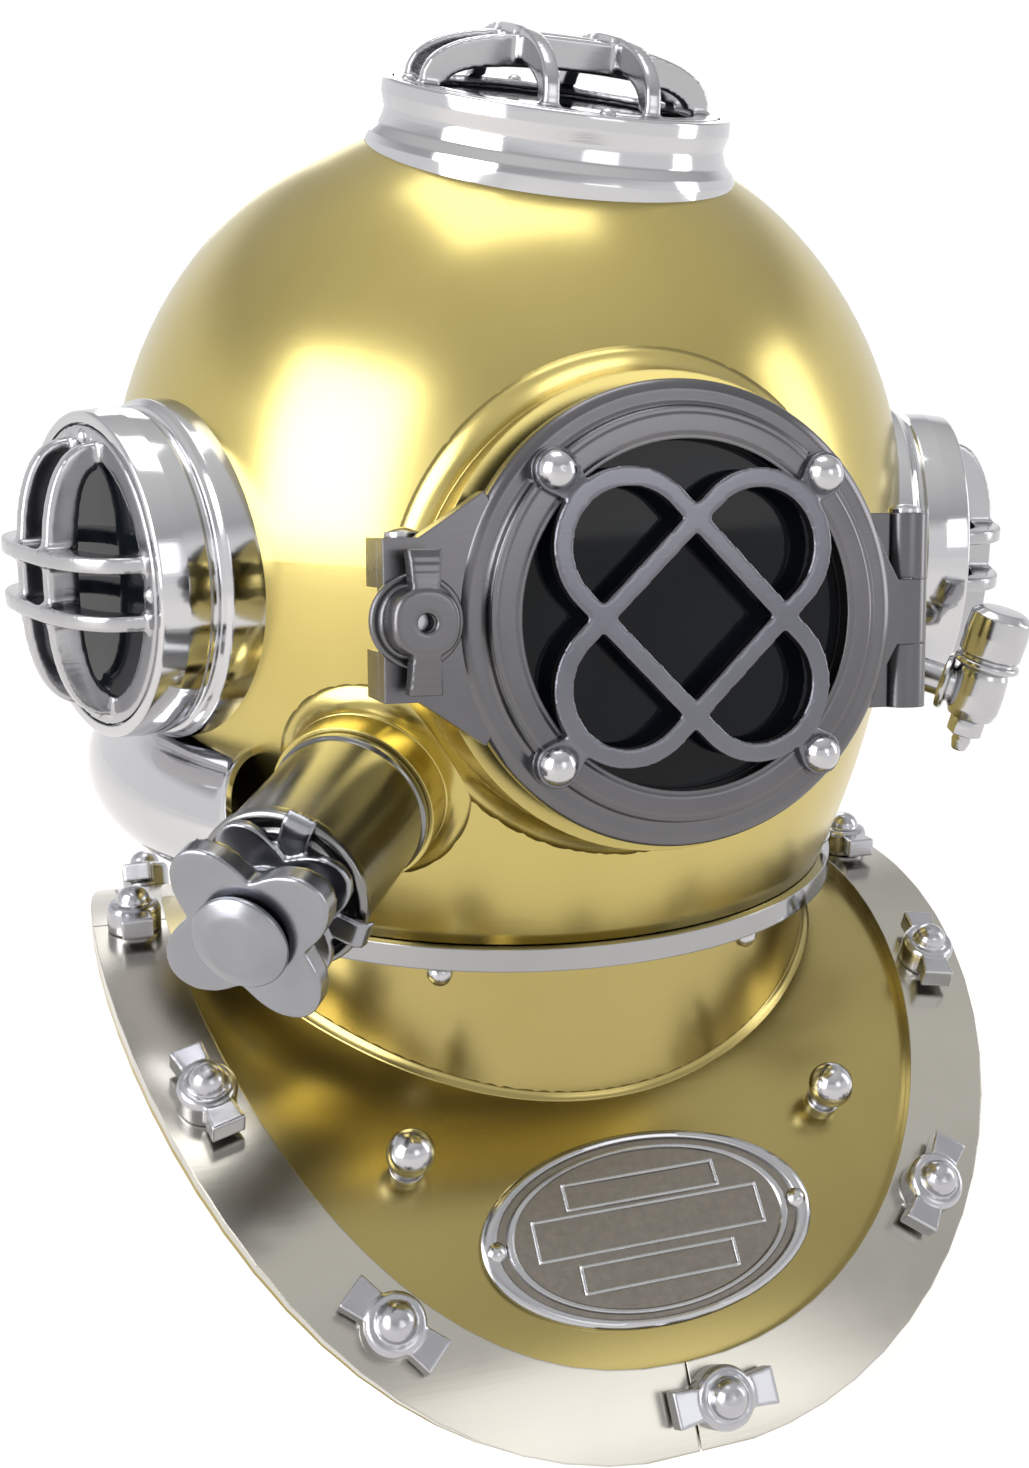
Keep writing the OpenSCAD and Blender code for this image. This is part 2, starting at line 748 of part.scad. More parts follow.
module bonnet_ring() {
    color(brass) difference() {
        union() {
            translate([0, 0, foot_z]) cylinder(r = dome_foot_r - dome_wall * 1.15, h = flange_h);
            translate([0, 0, gasket_top + turn_gap]) cylinder(r = spigot_r, h = foot_z - gasket_top);
            for (k = [0 : 3]) locking_sector(lug_r, (k + 0.5) * quarter, lug_angle, lug_z, lug_h);
        }
        cylinder(r = neck_r + gasket_inset, h = far);
    }
}

ear_r = 7;

module window_seat() {
    front = door_back + door_gap;
    ear_x = boss_r + 0.3;
    knuckle_z = leaf_half_h + door_gap;
    color(nickel) window_frame() difference() {
        union() {
            window_plane(boss_back) cylinder(r = door_r - 1, h = boss_back - front);
            for (up = [0, 1]) mirror([0, 0, up]) {
                translate([hinge_x, hinge_y, knuckle_z]) cylinder(r = knuckle_r, h = hinge_half_h - knuckle_z);
                translate([window_r + 4, front, knuckle_z])
                    cube([hinge_x - window_r - 4, boss_back - front, hinge_half_h - knuckle_z]);
                translate([-lug_reach, front, eye_r + 2]) cube([lug_reach - window_r - 4, boss_back - front, lug_half_h - eye_r - 2]);
                translate([-lug_reach, front, eye_r + 2]) cube([lug_reach - ear_x, latch_y + eye_r - front, lug_half_h - eye_r - 2]);
            }
        }
        window_plane(far / 2) cylinder(r = window_r, h = far);
        window_plane(front + 1.2) cylinder(r = seal_out_r + 0.1, h = 2);
        translate([hinge_x, hinge_y, -far / 2]) cylinder(r = pin_r + pin_fit, h = far);
        translate([-latch_x, latch_y, -far / 2]) cylinder(r = pin_r + pin_fit, h = far);
    }
}

seal_in_r = window_r + 2;
seal_out_r = window_r + 7;

module door_seal() {
    color("#2a2a2a") window_frame() window_plane(door_back + door_gap + 1.2) difference() {
        cylinder(r = seal_out_r, h = 1.2);
        translate([0, 0, -1]) cylinder(r = seal_in_r, h = 4);
    }
}

module headed_pin(x, y, half_h) {
    head_h = 3;
    window_frame() translate([x, y, 0]) {
        translate([0, 0, -half_h - 0.5]) cylinder(r = pin_r, h = 2 * half_h + 0.5);
        translate([0, 0, half_h]) cylinder(r = pin_r * 1.7, h = head_h / 2);
        translate([0, 0, half_h + head_h / 2]) dome_cap(pin_r * 1.7, head_h / 2);
    }
}

module hinge_pin() { color(bright) headed_pin(hinge_x, hinge_y, hinge_half_h); }
module latch_pin() { color(bright) headed_pin(-latch_x, latch_y, lug_half_h); }

module light_ring(r, rim) {
    guard_r = r - rim_edge;
    glass_r = guard_r - 3.5;
    color(bright) difference() {
        union() {
            cylinder(r = r + step_out, h = rim - step_depth);
            cylinder(r = r, h = rim);
        }
        cylinder(r = r - light_bore_in, h = far);
        translate([0, 0, rim - cage_plate_t]) cylinder(r = guard_r, h = far);
        translate([0, 0, rim - cage_plate_t - fine - light_glass_t - gasket_t]) cylinder(r = glass_r, h = far);
    }
}

module light_glass(r, rim) {
    color("#101418") translate([0, 0, rim - cage_plate_t - fine - light_glass_t])
        cylinder(r = r - rim_edge - 3.5 - fine, h = light_glass_t);
}

module light_gasket(r, rim) {
    translate([0, 0, rim - cage_plate_t - fine - light_glass_t - gasket_t]) difference() {
        cylinder(r = r - rim_edge - 3.5 - fine, h = gasket_t);
        translate([0, 0, -1]) cylinder(r = r - light_bore_in, h = gasket_t + 2);
    }
}

blade_root = 0.4;

// One arched blade in the xz plane, centred on y = 0
module blade(reach, rise, depth) {
    out_r = (reach * reach + rise * rise) / (2 * rise);
    in_reach = reach - 7;
    end = reach - 0.5;
    in_rise = rise - depth;
    in_r = (in_reach * in_reach + in_rise * in_rise) / (2 * in_rise);
    rotate([90, 0, 0]) translate([0, 0, -blade_t / 2]) linear_extrude(blade_t) difference() {
        intersection() {
            translate([0, rise - out_r]) circle(r = out_r, $fn = 180);
            translate([-end, -blade_root]) square([2 * end, rise + blade_root]);
        }
        translate([0, in_rise - in_r]) circle(r = in_r, $fn = 180);
    }
}

module cage_guard(r, rim, long_pitch, cross_pitch, cross_in, turned) {
    plate_out = r - rim_edge - fine;
    color(bright) translate([0, 0, rim]) rotate([0, 0, turned]) difference() {
        union() {
            translate([0, 0, -cage_plate_t]) difference() {
                cylinder(r = plate_out, h = cage_plate_t);
                translate([0, 0, -1]) cylinder(r = plate_out - cage_plate_w, h = cage_plate_t + 2);
            }
            for (side = [-1, 1]) translate([0, side * long_pitch, 0]) blade(plate_out - 4.5, cage_h, blade_depth);
            for (side = [-1, 1]) translate([side * cross_pitch, 0, 0]) rotate([0, 0, 90])
                blade(plate_out - cross_in, cage_h + cage_cross_rise, blade_depth);
        }
        cage_screw_places(r) translate([0, 0, -cage_plate_t - 1]) cylinder(r = 1.6, h = cage_plate_t + 2);
    }
}

module cage_screw_places(r) {
    for (k = [0 : 3]) rotate([0, 0, k * quarter]) translate([r - rim_edge - fine - cage_plate_w / 2, 0, 0]) children();
}

module cage_screws(r, rim) {
    translate([0, 0, rim]) cage_screw_places(r) {
        translate([0, 0, -cage_plate_t]) cylinder(r = 1.5, h = cage_plate_t);
        dome_cap(guard_screw_r, 1.8);
    }
}

module seat_on_dome() {
    difference() {
        children();
        dome_solid(-seat_gap);
    }
}

module right_window_ring() { seat_on_dome() right_frame() light_ring(right_r, right_rim); }
module left_window_ring() { seat_on_dome() left_frame() light_ring(left_r, left_rim); }
module top_window_ring() { seat_on_dome() top_frame() light_ring(top_r, top_rim); }
module right_window_glass() { right_frame() light_glass(right_r, right_rim); }
module left_window_glass() { left_frame() light_glass(left_r, left_rim); }
module top_window_glass() { top_frame() light_glass(top_r, top_rim); }
module right_window_guard() {
    right_frame() cage_guard(right_r, right_rim, side_long_pitch, side_cross_pitch, side_cross_in, quarter);
}
module left_window_guard() {
    left_frame() cage_guard(left_r, left_rim, side_long_pitch, side_cross_pitch, side_cross_in, quarter);
}
module top_window_guard() { top_frame() cage_guard(top_r, top_rim, top_long_pitch, top_cross_pitch, top_cross_in, 0); }

module window_gaskets() {
    color("#2a2a2a") {
        right_frame() light_gasket(right_r, right_rim);
        left_frame() light_gasket(left_r, left_rim);
        top_frame() light_gasket(top_r, top_rim);
    }
}

module bonnet_screws() {
    foot_screw_angle = 62;
    color(bright) {
        right_frame() cage_screws(right_r, right_rim);
        left_frame() cage_screws(left_r, left_rim);
        top_frame() cage_screws(top_r, top_rim);
        for (side = [-1, 1]) difference() {
            rotate([0, 0, side * foot_screw_angle]) translate([0, -dome_foot_r + 1, foot_z + 6]) rotate([90, 0, 0]) {
                cylinder(r = set_screw_r, h = 2.5);
                translate([0, 0, 2.5]) dome_cap(set_screw_r, 2.5);
            }
            dome_solid(-seat_gap);
        }
    }
}

// Door
slot_half = shank_r + 1.2;
rivet_shank_r = 2.4;
rivet_hole_r = rivet_shank_r + 0.1;
glass_r = window_r + 4;

module slot_outline() {
    translate([-latch_x, 0]) circle(r = slot_half);
    translate([-lug_reach - latch_x, -slot_half]) square([lug_reach, 2 * slot_half]);
}

module door_outline() {
    difference() {
        union() {
            circle(r = door_r);
            translate([-lug_reach, -lug_half_h]) square([lug_reach - window_r - 4, 2 * lug_half_h]);
            translate([window_r + 4, -leaf_half_h]) square([hinge_x - window_r - 4, 2 * leaf_half_h]);
            for (up = [0, 1]) mirror([0, up]) {
                polygon([[-lug_reach + 10, lug_half_h], [-door_r - 6, lug_half_h + 4], [-door_r + 7, 36], [-45, 10]]);
                polygon([[door_r + 4, leaf_half_h - 1], [door_r, 16], [door_r - 7, 30], [45, 10]]);
            }
        }
        slot_outline();
    }
}

module door_frame() {
    color(nickel) window_frame() difference() {
        union() {
            window_plane(door_back) {
                linear_extrude(door_back - bezel_h) door_outline();
                linear_extrude(door_back) union() {
                    circle(r = bezel_r);
                    guard_places() circle(r = ear_r);
                }
            }
            translate([hinge_x, hinge_y, -leaf_half_h]) cylinder(r = knuckle_r, h = 2 * leaf_half_h);
        }
        window_plane(door_back + 1) cylinder(r = window_r, h = far);
        window_plane(door_back + 1) cylinder(r = glass_r + fine, h = door_back - bezel_h + 1);
        translate([hinge_x, hinge_y, -far / 2]) cylinder(r = pin_r + pin_gap, h = far);
        window_plane(door_back + 1) guard_places() cylinder(r = rivet_hole_r, h = far);
    }
}

module guard_places() {
    for (k = [0 : 3]) rotate([0, 0, 45 + k * quarter]) translate([guard_rivet_pitch_r, 0, 0]) children();
}

module door_gasket() {
    color("#2a2a2a") window_frame() window_plane(bezel_h + gasket_t) difference() {
        cylinder(r = glass_r, h = gasket_t);
        translate([0, 0, -1]) cylinder(r = window_r, h = gasket_t + 2);
    }
}

module door_glass() {
    color("#101418") window_frame() window_plane(bezel_h + gasket_t + door_glass_t) cylinder(r = glass_r, h = door_glass_t);
}

module door_retainer() {
    color(nickel) window_frame() window_plane(door_back) difference() {
        cylinder(r = glass_r, h = door_back - bezel_h - gasket_t - door_glass_t);
        translate([0, 0, -1]) cylinder(r = window_r, h = 10);
    }
}

module loop_outline(r) {
    for (side = [-1, 1]) translate([side * loop_out, 0]) circle(r = r);
    square([2 * loop_out, 2 * r], center = true);
}

module door_guard() {
    bar = guard_bar_w / 2;
    color(nickel) window_frame() difference() {
        union() {
            for (turn = [45, 135]) window_plane(guard_bar_t - guard_h) rotate([0, 0, turn]) linear_extrude(guard_bar_t)
                difference() {
                    loop_outline(loop_r + bar);
                    loop_outline(loop_r - bar);
                }
            window_plane(0) for (k = [0 : 3]) rotate([0, 0, 45 + k * quarter]) hull() {
                translate([guard_rivet_pitch_r, 0, 0]) cylinder(r = ear_r - 0.4, h = guard_foot_t, $fn = 32);
                translate([loop_out + loop_r + 1, 0, guard_h - guard_bar_t]) cylinder(r = bar + 0.6, h = guard_bar_t - 0.5, $fn = 32);
            }
        }
        window_plane(0) for (k = [0 : 3]) rotate([0, 0, 45 + k * quarter]) translate([guard_rivet_pitch_r, 0, 0]) {
            translate([0, 0, -1]) cylinder(r = rivet_hole_r, h = guard_foot_t + 2);
            translate([0, 0, guard_foot_t]) cylinder(r = guard_rivet_r + fine, h = guard_h);
        }
    }
}

module guard_rivets() {
    color(bright) window_frame() window_plane(door_back) for (k = [0 : 3]) rotate([0, 0, 45 + k * quarter])
        translate([guard_rivet_pitch_r, 0, 0]) {
            translate([0, 0, 2]) cylinder(r = rivet_shank_r, h = door_back + guard_foot_t - 2);
            translate([0, 0, door_back + guard_foot_t]) dome_cap(guard_rivet_r, guard_rivet_r - 1.2);
        }
}

// Latch
module swing_bolt() {
    color(bright) window_frame() translate([-latch_x, latch_y, 0]) difference() {
        union() {
            translate([0, 0, -eye_r - 1.7]) cylinder(r = eye_r, h = 2 * (eye_r + 1.7));
            rotate([90, 0, 0]) cylinder(r = shank_r, h = latch_y - bezel_h + shank_in);
        }
        translate([0, 0, -far / 2]) cylinder(r = pin_r + pin_gap, h = far);
    }
}

module latch_nut() {
    wing = 7;
    color(nickel) window_frame() translate([-latch_x, 0, 0]) window_plane(bezel_h - fine) difference() {
        union() {
            cylinder(r = latch_nut_r, h = 2.5);
            cylinder(r = latch_nut_r * 0.68, h = latch_nut_h - fine);
            for (side = [-1, 1]) translate([-wing / 2, side == 1 ? 5 : -latch_wing_reach, latch_nut_h - 8])
                cube([wing, latch_wing_reach - 5, 6.5]);
        }
        translate([0, 0, -1]) cylinder(r = shank_r + 1.4, h = shank_in + 3);
        cylinder(r = 2.6, h = far);
    }
}

// Exhaust valve, in its own frame with z outwards
hub_floor = valve_l - cup_depth;

module exhaust_body() {
    color(bright) valve_frame() difference() {
        translate([0, 0, valve_boss_l]) cylinder(r = valve_r, h = valve_l - valve_boss_l);
        translate([0, 0, valve_boss_l - 1]) cylinder(r = valve_r - valve_wall, h = hub_floor - valve_wall - valve_boss_l + 1);
        translate([0, 0, hub_floor]) cylinder(r = valve_r - valve_wall, h = far);
        cylinder(r = stem_r + pin_gap, h = far);
    }
}

wheel_turn = 33;
claw_turn = 60;
spring_turns = 5;
spring_wire_r = 1;
spring_r = stem_r + spring_wire_r + 1;
disc_t = 3;
disc_z = valve_boss_l + fine;
spring_z = disc_z + disc_t + stem_travel + fine;
spring_l = hub_floor - valve_wall - spring_z - 2 * spring_wire_r;

module exhaust_spring() {
    rings = 12 * spring_turns;
    sides = 6;
    points = [for (k = [0 : rings]) for (s = [0 : sides - 1])
        let (turn = 360 * k / 12, a = 360 * s / sides, r = spring_r + spring_wire_r * cos(a))
        [r * cos(turn), r * sin(turn), spring_wire_r * (1.05 + sin(a)) + spring_l * k / rings]];
    walls = [for (k = [0 : rings - 1]) for (s = [0 : sides - 1]) for (half = [0, 1])
        let (a = sides * k + s, b = sides * k + (s + 1) % sides)
        half == 0 ? [a, b, b + sides] : [a, b + sides, a + sides]];
    caps = [for (s = [1 : sides - 2]) for (half = [0, 1]) let (e = sides * rings)
        half == 0 ? [0, s + 1, s] : [e, e + s, e + s + 1]];
    color(bright) valve_frame() translate([0, 0, spring_z]) polyhedron(points, concat(walls, caps));
}

module wheel_outline() {
    circle(r = wheel_hub_r);
    for (k = [0 : 3]) rotate([0, 0, wheel_turn + k * quarter]) {
        translate([wheel_r - lobe_r, 0]) circle(r = lobe_r);
        translate([0, -lobe_r * 0.7]) square([wheel_r - lobe_r, lobe_r * 1.4]);
    }
}

module exhaust_handwheel() {
    hub_gap = fine + 0.2;
    root = wheel_hub_r / 2;
    claw_in = valve_r + 1;
    claw_out = claw_in + 2.6;
    claw_w = 8;
    claw_top = valve_l + 4;
    claw_side = [[root, claw_top - 3], [claw_in, claw_top - 3], [claw_in, claw_top - claw_l],
        [claw_out, claw_top - claw_l], [claw_out, claw_top], [root, claw_top]];
    color(nickel) valve_frame() difference() {
        union() {
            translate([0, 0, wheel_front - wheel_t]) linear_extrude(wheel_t) wheel_outline();
            translate([0, 0, hub_floor + hub_gap]) cylinder(r = wheel_hub_r - 2, h = wheel_front - 1 - hub_floor - hub_gap);
            for (k = [0 : 3]) rotate([0, 0, claw_turn + k * quarter]) translate([0, claw_w / 2, 0]) rotate([90, 0, 0])
                linear_extrude(claw_w) polygon(claw_side);
        }
        cylinder(r = stem_r + pin_gap, h = far);
    }
}

module exhaust_stem() {
    color(nickel) valve_frame() {
        translate([0, 0, valve_boss_l]) cylinder(r = stem_r, h = wheel_front + stem_travel - valve_boss_l + 1);
        translate([0, 0, wheel_front + stem_travel]) cylinder(r = button_r, h = button_t - 1);
        translate([0, 0, wheel_front + stem_travel + button_t - 1]) dome_cap(button_r, 1.2);
        translate([0, 0, disc_z]) cylinder(r = valve_r - valve_wall - 1, h = disc_t);
    }
}

module exhaust_duct() {
    color(bright) difference() {
        rotate([0, 0, -quarter - duct_to]) rotate_extrude(angle = duct_to - duct_from) translate([dome_r - duct_root, duct_z]) difference() {
            circle(r = duct_r);
            circle(r = duct_r - duct_wall);
            translate([-far - 6, -far / 2]) square([far, far]);
        }
        dome_solid(-seat_gap);
        right_frame() cylinder(r = right_r + step_out + fine, h = far);
    }
}

// Drain cock, in its own frame with the body's axis upright
module cock_body() {
    color(bright) difference() {
        cock_frame() {
            translate([0, 0, -cock_half_h]) cylinder(r = cock_body_r, h = 2 * cock_half_h);
            rotate([-90, 0, 0]) cylinder(r = cock_stem_r, h = cock_stand + cock_root);
            translate([0, cock_body_r + 1, 0]) rotate([-90, 0, 0]) cylinder(r = cock_stem_r + 3.5, h = 3);
        }
        dome_solid(-seat_gap);
        cock_frame() translate([0, 0, -far / 2]) cylinder(r = cock_plug_r + pin_gap, h = far);
        cock_frame() rotate([-90, 0, 0]) cylinder(r = 2.5, h = far);
    }
}

module cock_plug() {
    nut_w = 6.5;
    color(bright) cock_frame() difference() {
        union() {
            translate([0, 0, -cock_half_h - fine]) cylinder(r = cock_plug_r, h = 2 * (cock_half_h + fine));
            translate([0, 0, cock_half_h + fine]) cylinder(r = cock_cap_r + 1, h = 2.2);
            translate([0, 0, cock_half_h + fine + 2]) cylinder(r = cock_cap_r - 1, h = 2);
            translate([0, 0, cock_half_h + fine + 3.6]) cylinder(r = cock_cap_r, h = cock_cap_h - 4);
            translate([0, 0, cock_half_h + fine + cock_cap_h - 0.4]) dome_cap(cock_cap_r, 2);
            translate([0, 0, -cock_half_h - fine - 7]) cylinder(r = nut_w, h = 7, $fn = 6);
            translate([0, 0, -cock_half_h - fine - 13]) cylinder(r = nut_w * 0.6, h = 7);
        }
        rotate([-90, 0, 0]) translate([0, 0, -20]) cylinder(r = 2, h = 40);
    }
}

// A rear elbow: foot flange and socket on the dome, bend, threaded end that points down
module elbow(tube_r, bore_r, thread_r, side) {
    elbow_frame(side) difference() {
        union() {
            translate([0, 0, elbow_inside]) cylinder(r = tube_r + socket_wall, h = elbow_reach + 1 - elbow_inside);
            translate([0, 0, elbow_inside]) cylinder(r = elbow_foot_r, h = elbow_reach - 8 - elbow_inside);
            elbow_bow(tube_r);
            elbow_end() cylinder(r = thread_r, h = thread_l);
            elbow_end() translate([0, 0, -3]) cylinder(r = thread_r + 2, h = 4);
        }
        translate([0, 0, elbow_inside - 1]) cylinder(r = bore_r + fine, h = elbow_reach - elbow_inside + 2);
        elbow_bow(bore_r);
        elbow_end() translate([0, 0, -1]) cylinder(r = bore_r + fine, h = thread_l + 2);
    }
}

module elbow_bow(r) {
    translate([0, -elbow_bend, elbow_reach]) rotate([0, -90, 0]) rotate([0, 0, 90 - elbow_turn])
        rotate_extrude(angle = elbow_turn) translate([elbow_bend, 0]) circle(r = r);
}

module elbow_end() {
    translate([0, -elbow_bend, elbow_reach]) rotate([elbow_turn, 0, 0]) translate([0, elbow_bend, 0]) children();
}

module air_elbow() { color(brass) seat_on_dome() elbow(air_tube_r, air_bore_r, air_thread_r, -1); }
module phone_elbow() { color(brass) seat_on_dome() elbow(phone_tube_r, phone_bore_r, phone_thread_r, 1); }

breastplate_shell();
breastplate_ring();
neck_gasket();
front_right_brail();
front_left_brail();
rear_right_brail();
rear_left_brail();
brail_studs();
name_plate();
plate_rivets();
ball_studs();
neck_screws();
lock_bracket();
lock_lever();
for (number = [1 : 12]) wing_nut(number);
bonnet_shell();
bonnet_ring();
window_seat();
hinge_pin();
latch_pin();
door_seal();
right_window_ring();
right_window_glass();
right_window_guard();
left_window_ring();
left_window_glass();
left_window_guard();
top_window_ring();
top_window_glass();
top_window_guard();
window_gaskets();
bonnet_screws();
door_frame();
door_glass();
door_gasket();
door_retainer();
door_guard();
guard_rivets();
swing_bolt();
latch_nut();
exhaust_body();
exhaust_duct();
exhaust_spring();
exhaust_handwheel();
exhaust_stem();
cock_body();
cock_plug();
air_elbow();
phone_elbow();
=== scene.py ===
import json
import math

import bmesh
import bpy
from mathutils import Matrix, Vector


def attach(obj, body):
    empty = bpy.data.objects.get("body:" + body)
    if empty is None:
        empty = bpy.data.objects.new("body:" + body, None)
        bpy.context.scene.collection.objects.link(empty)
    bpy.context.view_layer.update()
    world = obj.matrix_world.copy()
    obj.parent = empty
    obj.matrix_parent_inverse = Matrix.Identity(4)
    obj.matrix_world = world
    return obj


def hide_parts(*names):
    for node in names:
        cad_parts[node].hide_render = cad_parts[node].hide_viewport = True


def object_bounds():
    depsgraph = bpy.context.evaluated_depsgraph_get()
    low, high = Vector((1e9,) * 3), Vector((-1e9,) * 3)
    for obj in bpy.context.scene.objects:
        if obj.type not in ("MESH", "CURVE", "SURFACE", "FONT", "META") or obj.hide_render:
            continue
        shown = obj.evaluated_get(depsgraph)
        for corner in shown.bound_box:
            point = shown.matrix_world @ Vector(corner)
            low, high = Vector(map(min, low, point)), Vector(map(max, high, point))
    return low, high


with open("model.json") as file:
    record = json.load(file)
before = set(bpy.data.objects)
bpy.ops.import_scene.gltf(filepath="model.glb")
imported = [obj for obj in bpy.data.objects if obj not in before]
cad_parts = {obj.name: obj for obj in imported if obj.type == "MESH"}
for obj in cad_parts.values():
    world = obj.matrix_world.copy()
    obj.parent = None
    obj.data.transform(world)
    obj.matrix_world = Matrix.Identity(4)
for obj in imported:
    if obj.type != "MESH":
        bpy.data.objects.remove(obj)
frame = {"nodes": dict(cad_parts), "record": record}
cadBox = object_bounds()
nodes = frame["nodes"]
print("frame loaded:", len(nodes), "nodes")

# the photograph's view: metres, degrees, and millimetres of lens
shot = {
    "place": (-0.18495, -0.61275, 0.2351),
    "azimuth": -20.26,
    "elevation": 13.62,
    "roll": 0.853,
    "lens": 40.01,
    "sensor": 36,
    "shift": (-0.06396, -0.01744),
    "near": 0.01,
    "far": 50,
}


def makeCamera():
    az, el, roll = (math.radians(shot[k]) for k in ("azimuth", "elevation", "roll"))
    back = Vector((math.sin(az) * math.cos(el), -math.cos(az) * math.cos(el), math.sin(el)))
    right = Vector((math.cos(az), math.sin(az), 0))
    up = back.cross(right)
    sideways = math.cos(roll) * right + math.sin(roll) * up
    upwards = -math.sin(roll) * right + math.cos(roll) * up
    turn = Matrix((sideways, upwards, back)).transposed().to_4x4()
    data = bpy.data.cameras.new("camera")
    data.lens = shot["lens"]
    data.sensor_width = shot["sensor"]
    data.shift_x, data.shift_y = shot["shift"]
    data.clip_start, data.clip_end = shot["near"], shot["far"]
    camera = bpy.data.objects.new("camera", data)
    camera.matrix_world = Matrix.Translation(shot["place"]) @ turn
    bpy.context.scene.collection.objects.link(camera)
    bpy.context.scene.camera = camera
    bpy.context.view_layer.update()


makeCamera()
bpy.context.scene.view_settings.view_transform = "Standard"

# soft rectangles of light, all aimed at the middle of the helmet
lampAim = (0, 0, 0.11)
lamps = {
    "window": {"place": (-1.25, -0.55, 0.58), "size": (0.95, 1.15), "power": 20},
    "front": {"place": (0.35, -1.3, 0.55), "size": (0.5, 0.5), "power": 1.0},
    "side": {"place": (1.2, -0.35, 0.45), "size": (0.35, 0.9), "power": 3},
    "top": {"place": (0.0, 0.1, 1.25), "size": (0.6, 0.6), "power": 3},
    "behind": {"place": (0.3, 1.2, 0.7), "size": (0.9, 0.6), "power": 3},
}


def makeLamps():
    for name, lamp in lamps.items():
        data = bpy.data.lights.new(name, "AREA")
        data.shape = "RECTANGLE"
        data.size, data.size_y = lamp["size"]
        data.energy = lamp["power"]
        place = Vector(lamp["place"])
        turn = (Vector(lampAim) - place).to_track_quat("-Z", "Y").to_matrix().to_4x4()
        light = bpy.data.objects.new(name, data)
        light.matrix_world = Matrix.Translation(place) @ turn
        bpy.context.scene.collection.objects.link(light)


makeLamps()


# 1 where the camera, a mirror or glass looks, 0 for the light that falls on dull surfaces
def addSeen(tree):
    path = tree.nodes.new("ShaderNodeLightPath")
    mirrored = tree.nodes.new("ShaderNodeMath")
    mirrored.operation = "MAXIMUM"
    seen = tree.nodes.new("ShaderNodeMath")
    seen.operation = "MAXIMUM"
    tree.links.new(path.outputs["Is Glossy Ray"], mirrored.inputs[0])
    tree.links.new(path.outputs["Is Transmission Ray"], mirrored.inputs[1])
    tree.links.new(path.outputs["Is Camera Ray"], seen.inputs[0])
    tree.links.new(mirrored.outputs[0], seen.inputs[1])
    return seen.outputs[0]


# white up to a little over the horizon and a greyer ceiling; heights run from 0 below to 1 above
studio = {
    "horizon": (0.68, (1, 1, 1, 1)),
    "ceiling": (0.76, (0.56, 0.56, 0.56, 1)),
    "zenith": (1, (0.92, 0.92, 0.90, 1)),
    "dullLight": (0.5, 0.5, 0.5, 1),
}


def makeWorld():
    world = bpy.data.worlds.new("studio")
    bpy.context.scene.world = world
    world.use_nodes = True
    tree = world.node_tree
    tree.nodes.clear()
    out = tree.nodes.new("ShaderNodeOutputWorld")
    mix = tree.nodes.new("ShaderNodeMixShader")
    dull = tree.nodes.new("ShaderNodeBackground")
    dull.inputs["Color"].default_value = studio["dullLight"]
    white = tree.nodes.new("ShaderNodeBackground")
    place = tree.nodes.new("ShaderNodeTexCoord")
    split = tree.nodes.new("ShaderNodeSeparateXYZ")
    ramp = tree.nodes.new("ShaderNodeValToRGB")
    horizon, zenith = ramp.color_ramp.elements
    horizon.position, horizon.color = studio["horizon"]
    zenith.position, zenith.color = studio["zenith"]
    ceiling = ramp.color_ramp.elements.new(studio["ceiling"][0])
    ceiling.color = studio["ceiling"][1]
    height = tree.nodes.new("ShaderNodeMapRange")
    height.inputs["From Min"].default_value = -1
    tree.links.new(place.outputs["Generated"], split.inputs[0])
    tree.links.new(split.outputs["Z"], height.inputs["Value"])
    tree.links.new(height.outputs[0], ramp.inputs[0])
    tree.links.new(ramp.outputs[0], white.inputs["Color"])
    tree.links.new(addSeen(tree), mix.inputs[0])
    tree.links.new(dull.outputs[0], mix.inputs[1])
    tree.links.new(white.outputs[0], mix.inputs[2])
    tree.links.new(mix.outputs[0], out.inputs[0])


makeWorld()

paleFloor = {"size": 12, "colour": (0.26, 0.23, 0.19), "rough": 0.9, "gloss": 0.1, "white": 0.92}


def makeFloor():
    bm = bmesh.new()
    bmesh.ops.create_grid(bm, x_segments=2, y_segments=2, size=paleFloor["size"])
    bmesh.ops.translate(bm, verts=bm.verts, vec=(0, 0, cadBox[0].z))
    mesh = bpy.data.meshes.new("floor")
    bm.to_mesh(mesh)
    bm.free()
    floor = bpy.data.objects.new("floor", mesh)
    bpy.context.scene.collection.objects.link(floor)
    material = bpy.data.materials.new("pale floor")
    material.use_nodes = True
    tree = material.node_tree
    shader = tree.nodes["Principled BSDF"]
    shader.inputs["Base Color"].default_value = (*paleFloor["colour"], 1)
    shader.inputs["Roughness"].default_value = paleFloor["rough"]
    shader.inputs["Specular IOR Level"].default_value = paleFloor["gloss"]
    shader.inputs["Emission Color"].default_value = (1, 1, 1, 1)
    glow = tree.nodes.new("ShaderNodeMath")
    glow.operation = "MULTIPLY"
    glow.inputs[1].default_value = paleFloor["white"]
    tree.links.new(addSeen(tree), glow.inputs[0])
    tree.links.new(glow.outputs[0], shader.inputs["Emission Strength"])
    mesh.materials.append(material)


makeFloor()
print("camera, lamps and floor made")

# clouds of tone, fine lines of rubbing (as many to the metre) and how deep the grain goes, in metres
rubbing = {"cloudDetail": 5, "cloudRough": 0.6, "cloudRange": (0.3, 0.7),
           "lines": (60, 60, 900), "lineDetail": 3, "metalDeep": 0.0005, "dullDeep": 0.0004}


def addSocket(group, name, way, value=None):
    socket = group.interface.new_socket(name=name, in_out=way, socket_type="NodeSocketFloat")
    if value is not None:
        socket.default_value = value


